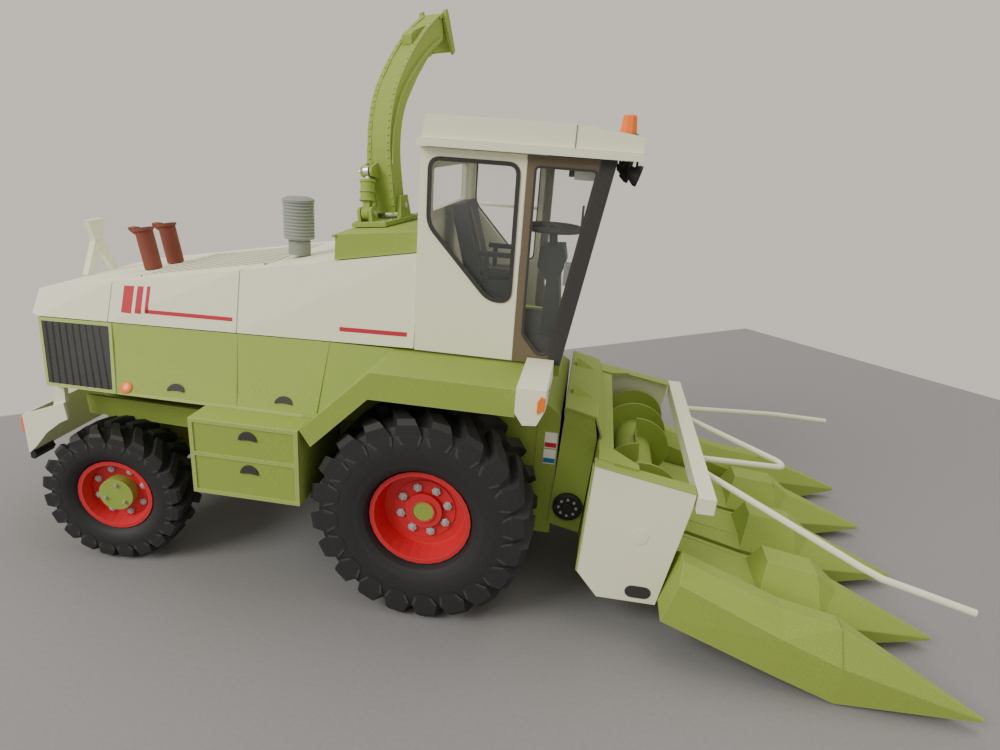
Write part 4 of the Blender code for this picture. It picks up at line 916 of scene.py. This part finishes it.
# ---------------------------------------------------------------- beacon and work lamps
# An amber beacon on a black foot near the roof's front edge, and a pair of black work
# lamps hung on wires under the overhang at each front corner.
BEACON = Vector((44.0, -18.0, 133.2))
cap = lathe([(0, 0), (2.35, 0), (2.3, 1.0), (1.85, 4.6), (1.55, 4.95), (0, 5.05)], BEACON, (0, 0, 1), 8, 0.39)
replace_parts(made("beacon_cap", [cap], AMBER, soft=0.1), "beacon")
made("beacon_foot", [lathe([(0, -0.4), (2.7, -0.4), (2.7, 0.45), (0, 0.5)], BEACON, (0, 0, 1), 24)], DARK,
     round_to=35)
lamps, lenses = [], []
for x, y, size in ((46.6, -29.0, 1.0), (44.6, -22.5, 0.86), (46.6, 29.0, 1.0), (44.6, 22.5, 0.86)):
    centre = Vector((x, y, 124.0))
    facing = Vector((1, 0, -0.30)).normalized()
    bowl = ((0, -1.6), (1.3 / size, -1.5), (2.5, 0.2), (2.6, 1.1), (2.2, 1.1), (2.2, 0.8), (0, 0.8))
    lamps.append(lathe([(r * size, h) for r, h in bowl], centre, facing, 20))
    lamps.append(wire([(x - 1.4, y, 123.6), (x - 1.9, y, 125.6), (x - 1.9, y, 127.8)], 0.3, 8))
    lamps.append(wire([(x + 0.2, y + 0.9, z) for z in (125.6, 126.6, 127.8)], 0.3, 8))
    lenses.append(lathe([(0, 0.75), (2.15 * size, 0.75), (2.15 * size, 0.92), (0, 1.0)], centre, facing, 20))
made("work_lamps", lamps, BLACK, round_to=35)
made("work_lamp_lenses", lenses, LENS, round_to=35)

# ---------------------------------------------------------------- turret and turntable
# Light green card box behind the cab with a thin overhanging roof, a base plate with
# cheeks and clevis ears, and bright wire pins.
paint(GREEN, "spout_base", "spout_duct", "lift_barrel", "spout_flap")
paint(SILVER, "lift_rod")
SPOUT_X, SPOUT_Z = -24.2, 103.3
SPOUT_TILT = radians(7.0)


def turret_z(x):
    return SPOUT_Z + (x - SPOUT_X) * tan(SPOUT_TILT)


lip = [(x, turret_z(x) - drop) for x, drop in ((-32.3, 0.7), (-31.3, 0.7), (-31.3, 0), (-32.3, 0))]
made("turret_lip", [along(lip, "y", -27.8, 27.8)], GREEN, soft=0.05)
SPOUT_FOOT = Vector((SPOUT_X, 0, SPOUT_Z))
lean_back = Matrix.Rotation(-SPOUT_TILT, 3, "Y") @ Matrix.Rotation(radians(80.0), 3, "Z")


def spout_shapes(shapes):
    """Shapes drawn in the turntable's frame, X along the reach, moved to the model's."""
    return [([SPOUT_FOOT + lean_back @ Vector(p) for p in points], faces) for points, faces in shapes]


JACK_Y, JACK_FOOT, JACK_HEAD = 2.4, (-9.5, 3.8), (-6.5, 15.5)
pins = [disc(0.75, JACK_Y - 2.7, JACK_Y + 2.7, (JACK_FOOT[0], 0, JACK_FOOT[1]), segments=16)]
pins += [disc(0.9, s * 4.7, s * 5.3, (1.0, 0, 5.0), segments=16) for s in (-1, 1)]
made("turntable_pins", spout_shapes(pins), SILVER, "spout_turntable", round_to=35)
bolt_head = lathe([(0, 1.45), (0.55, 1.45), (0.55, 1.9), (0, 1.95)], axis=(0, 0, 1), segments=6)
for number, y in enumerate((-4.6, 4.6)):
    repeated(f"turntable_bolts_{number}", [bolt_head], STEEL, 6,
             at(*(SPOUT_FOOT + lean_back @ Vector((-12.8, y, 0)))), "spout_turntable", turned=lean_back,
             step=lean_back @ Vector((4.7, 0, 0)) * MM)

# ---------------------------------------------------------------- discharge spout
# A square duct of green card bent in two arcs, riveted along both edges of its back, with
# a tapering stiffener on each side and a bracket near the mouth.
DUCT = 7.0
BENDS = ((35.0, 48.0), (122.0, 21.0))
FOOT_Z, BEND_Z = 3.2, 15.0


def duct_station(distance):
    """Point and heading on the back of the duct, that far along it from its foot."""
    x, z, heading = -DUCT / 2, FOOT_Z, 90.0
    run = min(distance, BEND_Z - FOOT_Z)
    z += run
    distance -= run
    for radius, bent in BENDS:
        length = radius * radians(bent)
        turn = min(max(distance, 0.0), length) / radius
        a = radians(heading)
        x += radius * (sin(a) - sin(a - turn))
        z += radius * (cos(a - turn) - cos(a))
        heading -= turn * 180 / pi
        distance -= length
    return x, z, radians(heading)


DUCT_END = BEND_Z - FOOT_Z + sum(radius * radians(bent) for radius, bent in BENDS)


def duct_at(distance, depth, y):
    """A point that far along the duct, depth inward from its back."""
    x, z, heading = duct_station(distance)
    return Vector((x + sin(heading) * depth, y, z - cos(heading) * depth))


def strip(start, end, depth, y, steps=14):
    """A bar along the duct; depth and y give its low and high edges as functions or pairs."""
    rings = []
    for k in range(steps + 1):
        share = k / steps
        distance = start + share * (end - start)
        d = depth(share) if callable(depth) else depth
        rings.append([duct_at(distance, d[0], y[0]), duct_at(distance, d[1], y[0]),
                      duct_at(distance, d[1], y[1]), duct_at(distance, d[0], y[1])])
    return skin(rings)


PROUD = 0.28                # the back flange stands this far off the duct
flanges = [strip(2.0, DUCT_END - 2.0, (-PROUD, 0.1), (s * 3.75, s * 2.45)) for s in (-1, 1)]
flanges += [strip(14.0, DUCT_END - 8.0, lambda share: (0.2 + 5.6 * share, 1.0 + 5.6 * share),
                  (s * 3.45, s * 4.35)) for s in (-1, 1)]
flanges += [strip(0.6, 9.0, (0.6, 6.4), (s * 3.45, s * 3.7), 4) for s in (-1, 1)]
made("spout_flanges", spout_shapes(flanges), GREEN, "spout", soft=0.05)
rivet = lathe([(0, -0.1), (0.34, -0.1), (0.34, 0.14), (0.2, 0.28), (0, 0.32)], (0, 0, 0), (-1, 0, 0), 8)
for number, y in enumerate((-3.1, 3.1)):
    foot = SPOUT_FOOT + lean_back @ Vector((-DUCT / 2 - PROUD, y, 5.5))
    repeated(f"spout_rivets_foot_{number}", [rivet], GREEN, 5, at(*foot), "spout", turned=lean_back,
             step=lean_back @ Vector((0, 0, 2.2)) * MM)
    distance, leant = BEND_Z - FOOT_Z, 0.0
    for bend, (count, first, gap) in enumerate(((13, 3.2, 3.5), (9, 1.0, 1.8))):
        radius, bent = BENDS[bend]
        x, z, heading = duct_station(distance)
        middle = SPOUT_FOOT + lean_back @ Vector((x + sin(heading) * radius, y, z - cos(heading) * radius))
        on_arc = [p - Vector((radius + PROUD, 0, 0)) for p in rivet[0]]
        repeated(f"spout_rivets_arc_{bend}_{number}", [(on_arc, rivet[1])], GREEN, count, at(*middle),
                 "spout", turned=lean_back @ Matrix.Rotation(radians(leant + first), 3, "Y"),
                 axis=lean_back @ Vector((0, 1, 0)), turn=radians(gap))
        distance += radius * radians(bent)
        leant += bent
bracket = [duct_at(DUCT_END - back, depth, 0)
           for back, depth in ((26.0, 0.0), (24.5, -2.4), (21.5, -2.2), (12.0, 0.0))]
bracket = skin([[p + Vector((0, y, 0)) for p in bracket] for y in (-1.6, 1.6)])
made("spout_bracket", spout_shapes([bracket]), GREEN, "spout", soft=0.1)
made("spout_mouth", spout_shapes([strip(DUCT_END - 4.2, DUCT_END - 0.4, (-0.35, 0.9), (s * 4.0, s * 3.3), 3)
                                  for s in (-1, 1)]), GREEN, "spout", soft=0.05)

# ---------------------------------------------------------------- lift cylinder
# A two-section rolled barrel with a joint ring; the bright rod's eye sits between two
# lugs on the back of the duct.
jack_axis = Vector((JACK_HEAD[0] - JACK_FOOT[0], 0, JACK_HEAD[1] - JACK_FOOT[1]))
jack_origin = (JACK_FOOT[0], JACK_Y, JACK_FOOT[1])
bands = [hoop(2.12, 2.4, h, h + w, jack_origin, jack_axis, 28)
         for h, w in ((3.5, 0.5), (6.0, 0.35), (8.9, 0.6))]
made("barrel_bands", spout_shapes(bands), GREEN, "jack_barrel", round_to=35)
head_pin = disc(0.9, JACK_Y + 0.85, JACK_Y + 2.4, (JACK_HEAD[0], 0, JACK_HEAD[1]), segments=16)
made("rod_head_pin", spout_shapes([head_pin]), SILVER, "spout", round_to=35)

# ---------------------------------------------------------------- feeder and mounting frame
# The feeder box has a covered upper edge and, on each side, two paper stickers with one
# plain band; the header hangs on its mounting frame by two folded wedge hooks.
paint(GREEN, "feeder_house", "header_trough", "divider_r", "divider_centre", "divider_l", "outer_divider_r",
      "outer_divider_l")
hooks = []
for y in (-13.5, 13.5):
    hooks.append(skin([[(37.4, y - 2.6, 59.2), (37.4, y + 2.6, 59.2), (37.4, y, 62.4)],
                       [(44.2, y - 0.3, 57.7), (44.2, y + 0.3, 57.7), (44.2, y, 58.2)]]))
made("frame_hooks", hooks, GREEN, "header", soft=0.05)
top_plate = [(35.6, 59.7), (44.5, 57.6), (46.6, 52.2), (47.2, 52.4), (45.0, 58.2), (35.8, 60.3)]
made("frame_top_plate", [along(top_plate, "y", -27.4, 27.4)], GREEN, "header", soft=0.08)
made("feeder_joints", [solid_block((28.2, s * 26.0 - 0.12, 20.0), (28.5, s * 26.0 + 0.12, 59.0))
                       for s in (-1, 1)], SHADE_AND_JOINT_GREEN, "header")
INK_BLUE = surface("blue_ink", (0.02, 0.17, 0.42), 0.6)
bump(INK_BLUE, noise(INK_BLUE, 1800), 0.12, 0.00002)
for side, sign in SIDES:
    for number, (low, high, ink) in enumerate(((46.2, 51.2, INK_RED), (41.2, 45.8, INK_BLUE))):
        paper = solid_block((30.8, sign * 25.95, low), (34.4, sign * 26.12, high))
        made(f"sticker_paper_{number}_{side}", [paper], WHITE, "header")
        band = solid_block((30.9, sign * 26.1, low + 0.3), (34.3, sign * 26.16, low + 1.8))
        made(f"sticker_band_{number}_{side}", [band], ink, "header", "red_card")
    drive = (39.5, sign * 26.8, 28.5)
    hub = ((0, 0), (4.4, 0), (4.4, 1.0), (3.7, 1.3), (3.5, 0.9), (1.6, 0.9), (1.4, 1.5), (0, 1.5))
    hub = lathe([(r, sign * y) for r, y in hub], drive, segments=36)
    made(f"drive_hub_{side}", [hub], BLACK, "header", round_to=35)
    head = disc(0.42, sign * 0.8, sign * 1.35, (2.6, 0, 0), segments=6)
    repeated(f"drive_hub_bolts_{side}", [head], STEEL, 8, at(*drive), "header", axis=(0, 1, 0), turn=tau / 8)

# ---------------------------------------------------------------- header trough and sides
# Cream end plates with folded green flanges along the top and back, three-cornered
# gussets, and a dark oval plate near the lower front corner.
AUGER_SPOT = (59.5, 0, 32.0)
BACK_FLANGE = ((45.2, 51.0), (44.0, 18.9), (43.6, 18.9), (44.8, 51.2))
flanges = []
for side, sign in SIDES:
    edge = ((45.3, 51.25), (72.2, 46.75))
    flange = [(*edge[0], 44.4), (*edge[1], 44.4), (*edge[1], 39.6), (*edge[0], 39.6)]
    gusset = [(46.2, 51.5, 41.0), (57.0, 49.7, 41.0), (57.0, 49.7, 38.6), (50.2, 50.9, 33.0),
              (46.2, 51.5, 33.0)]
    for outline, thick in ((flange, 0.35), (gusset, 0.75)):
        flanges.append(sheet_of([(x, sign * y, z) for x, z, y in outline], (0.16, 0, 1), thick, 0.0))
    flanges.append(along(BACK_FLANGE, "y", sign * 44.45, sign * 42.0))
    oval = [(x + 1.9 * cos(turn + pi * k / 8), 14.6 + 1.9 * sin(turn + pi * k / 8))
            for x, turn in ((59.6, pi / 2), (63.0, -pi / 2)) for k in range(9)]
    made(f"side_oval_{side}", [along(oval, "y", sign * 44.15, sign * 44.4)], DARK, "header")
flanges.append(along([(46.3, 51.3), (50.4, 50.6), (50.4, 51.0), (46.3, 51.7)], "y", -42.4, 42.4))
made("header_flanges", flanges, GREEN, "header", soft=0.05)
covers = [lathe([(0, s * 44.1), (2.3, s * 44.1), (2.3, s * 44.35), (0, s * 44.4)], AUGER_SPOT, segments=28)
          for s in (-1, 1)]
made("bearing_covers", covers, CREAM, "header")
made("bar_end_caps", [solid_block((72.75, s * 46.0 - 0.1, 42.45), (76.95, s * 46.0 + 0.1, 46.65))
                      for s in (-1, 1)], CREAM, "header")

# ---------------------------------------------------------------- auger
# A rolled tube with a card helix at each end, wound opposite ways so that the crop moves
# to the middle, and notched strips between them.
AUGER = Vector(AUGER_SPOT)
TUBE_R, FLIGHT_R, AUGER_END = 6.0, 12.3, 41.8


def flight(start, end, turns, sign):
    """A helical blade between two stations, closed by its rim and its faces."""
    steps = int(turns * 28)
    rings = []
    for k in range(steps + 1):
        a = tau * turns * k / steps * sign
        y = start + (end - start) * k / steps
        ring = []
        for radius, shift in ((TUBE_R - 0.3, -0.25), (FLIGHT_R, -0.25), (FLIGHT_R, 0.25),
                              (TUBE_R - 0.3, 0.25)):
            ring.append((AUGER.x + radius * sin(a), y + shift, AUGER.z + radius * cos(a)))
        rings.append(ring)
    return skin(rings)


half_tube = [(TUBE_R, AUGER_END), (1.8, AUGER_END), (1.8, 43.9), (0, 43.9)]
tube = lathe([(r, -y) for r, y in reversed(half_tube)] + half_tube, AUGER, segments=48)
blades = [flight(s * 10.0, s * (AUGER_END - 0.4), 2.25, s) for s in (-1, 1)]
bars = []
for number in range(2):
    a = pi * number
    radial, tangent = Vector((sin(a), 0, cos(a))), Vector((cos(a), 0, -sin(a)))
    corners = [AUGER + radial * r + tangent * t
               for r, t in ((5.8, -0.3), (7.6, -0.3), (7.6, 0.3), (5.8, 0.3))]
    bars.append(skin([[p + Vector((0, y, 0)) for p in corners] for y in (-9.5, 9.5)]))
auger = made("auger_with_flights", [tube] + blades + bars, GREEN, "auger", round_to=40)
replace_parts(auger, "header_auger")
tooth = skin([[(t, y, r) for y, r in ((-0.6, 7.5), (0.6, 7.5), (0.0, 8.7))] for t in (-0.3, 0.3)])
for number in range(2):
    repeated(f"auger_teeth_{number}", [tooth], GREEN, 12, at(AUGER.x, -8.8, AUGER.z), "auger",
             turned=Matrix.Rotation(pi * number, 3, "Y"), step=(0, 1.6 * MM, 0))

# ---------------------------------------------------------------- row dividers
# Folded card noses.  Thin raised creases follow the decks, a dark seam crosses each one
# behind its tip, and wire skids stand below the two outer ones.
TIP_X, DIV_X = 146.5, 66.8


def divider_middle(row, x):
    return row * (24.0 + (x - DIV_X) / (TIP_X - DIV_X) * 6.0)


for row, name in ((-1, "r"), (0, "centre"), (1, "l")):
    seams = []
    for s in (-1, 1):
        rings = []
        for x, half, z in ((DIV_X + 0.5, 6.9, 20.5), (94.9, 6.3, 14.6)):
            y = divider_middle(row, x) + s * half
            rings.append([(x, y + a, z + b)
                          for a, b in ((-0.25, -0.1), (0.25, -0.1), (0.25, 0.12), (-0.25, 0.12))])
        seams.append(skin(rings))
    made(f"divider_creases_{name}", seams, GREEN, "header")
NOSE_X = 111.7              # where the nose is folded on
for name, middle, half in (("divider_r", -27.4, 5.2), ("divider_centre", 0.0, 5.2), ("divider_l", 27.4, 5.2),
                           ("outer_divider_r", -53.2, 5.6), ("outer_divider_l", 53.2, 5.6)):
    corners = [(NOSE_X + x, middle + y, 12) for x, y in ((0, -half), (0, half), (0.5, half), (0.5, -half))]
    seam = laid_on(surface_tree(name), corners, 40.0, (0, 0, -1), 0.06, 36)
    made(f"{name}_seam", [seam], SHADE_AND_JOINT_GREEN, "header")
skids = []
for side, sign in SIDES:
    y = sign * 53.0
    skids.append(wire([(101.0, y, 5.0), (103.5, y, 1.6), (106.0, y, 0.9), (112.0, y, 0.9), (114.5, y, 2.0),
                       (115.5, y, 3.6)], 0.6, 8))
    skids.append(wire([(107.0, y, 1.0), (107.0, y - sign * 2.0, 4.0)], 0.5, 8))
made("divider_skids", skids, GREEN, "header", round_to=50)
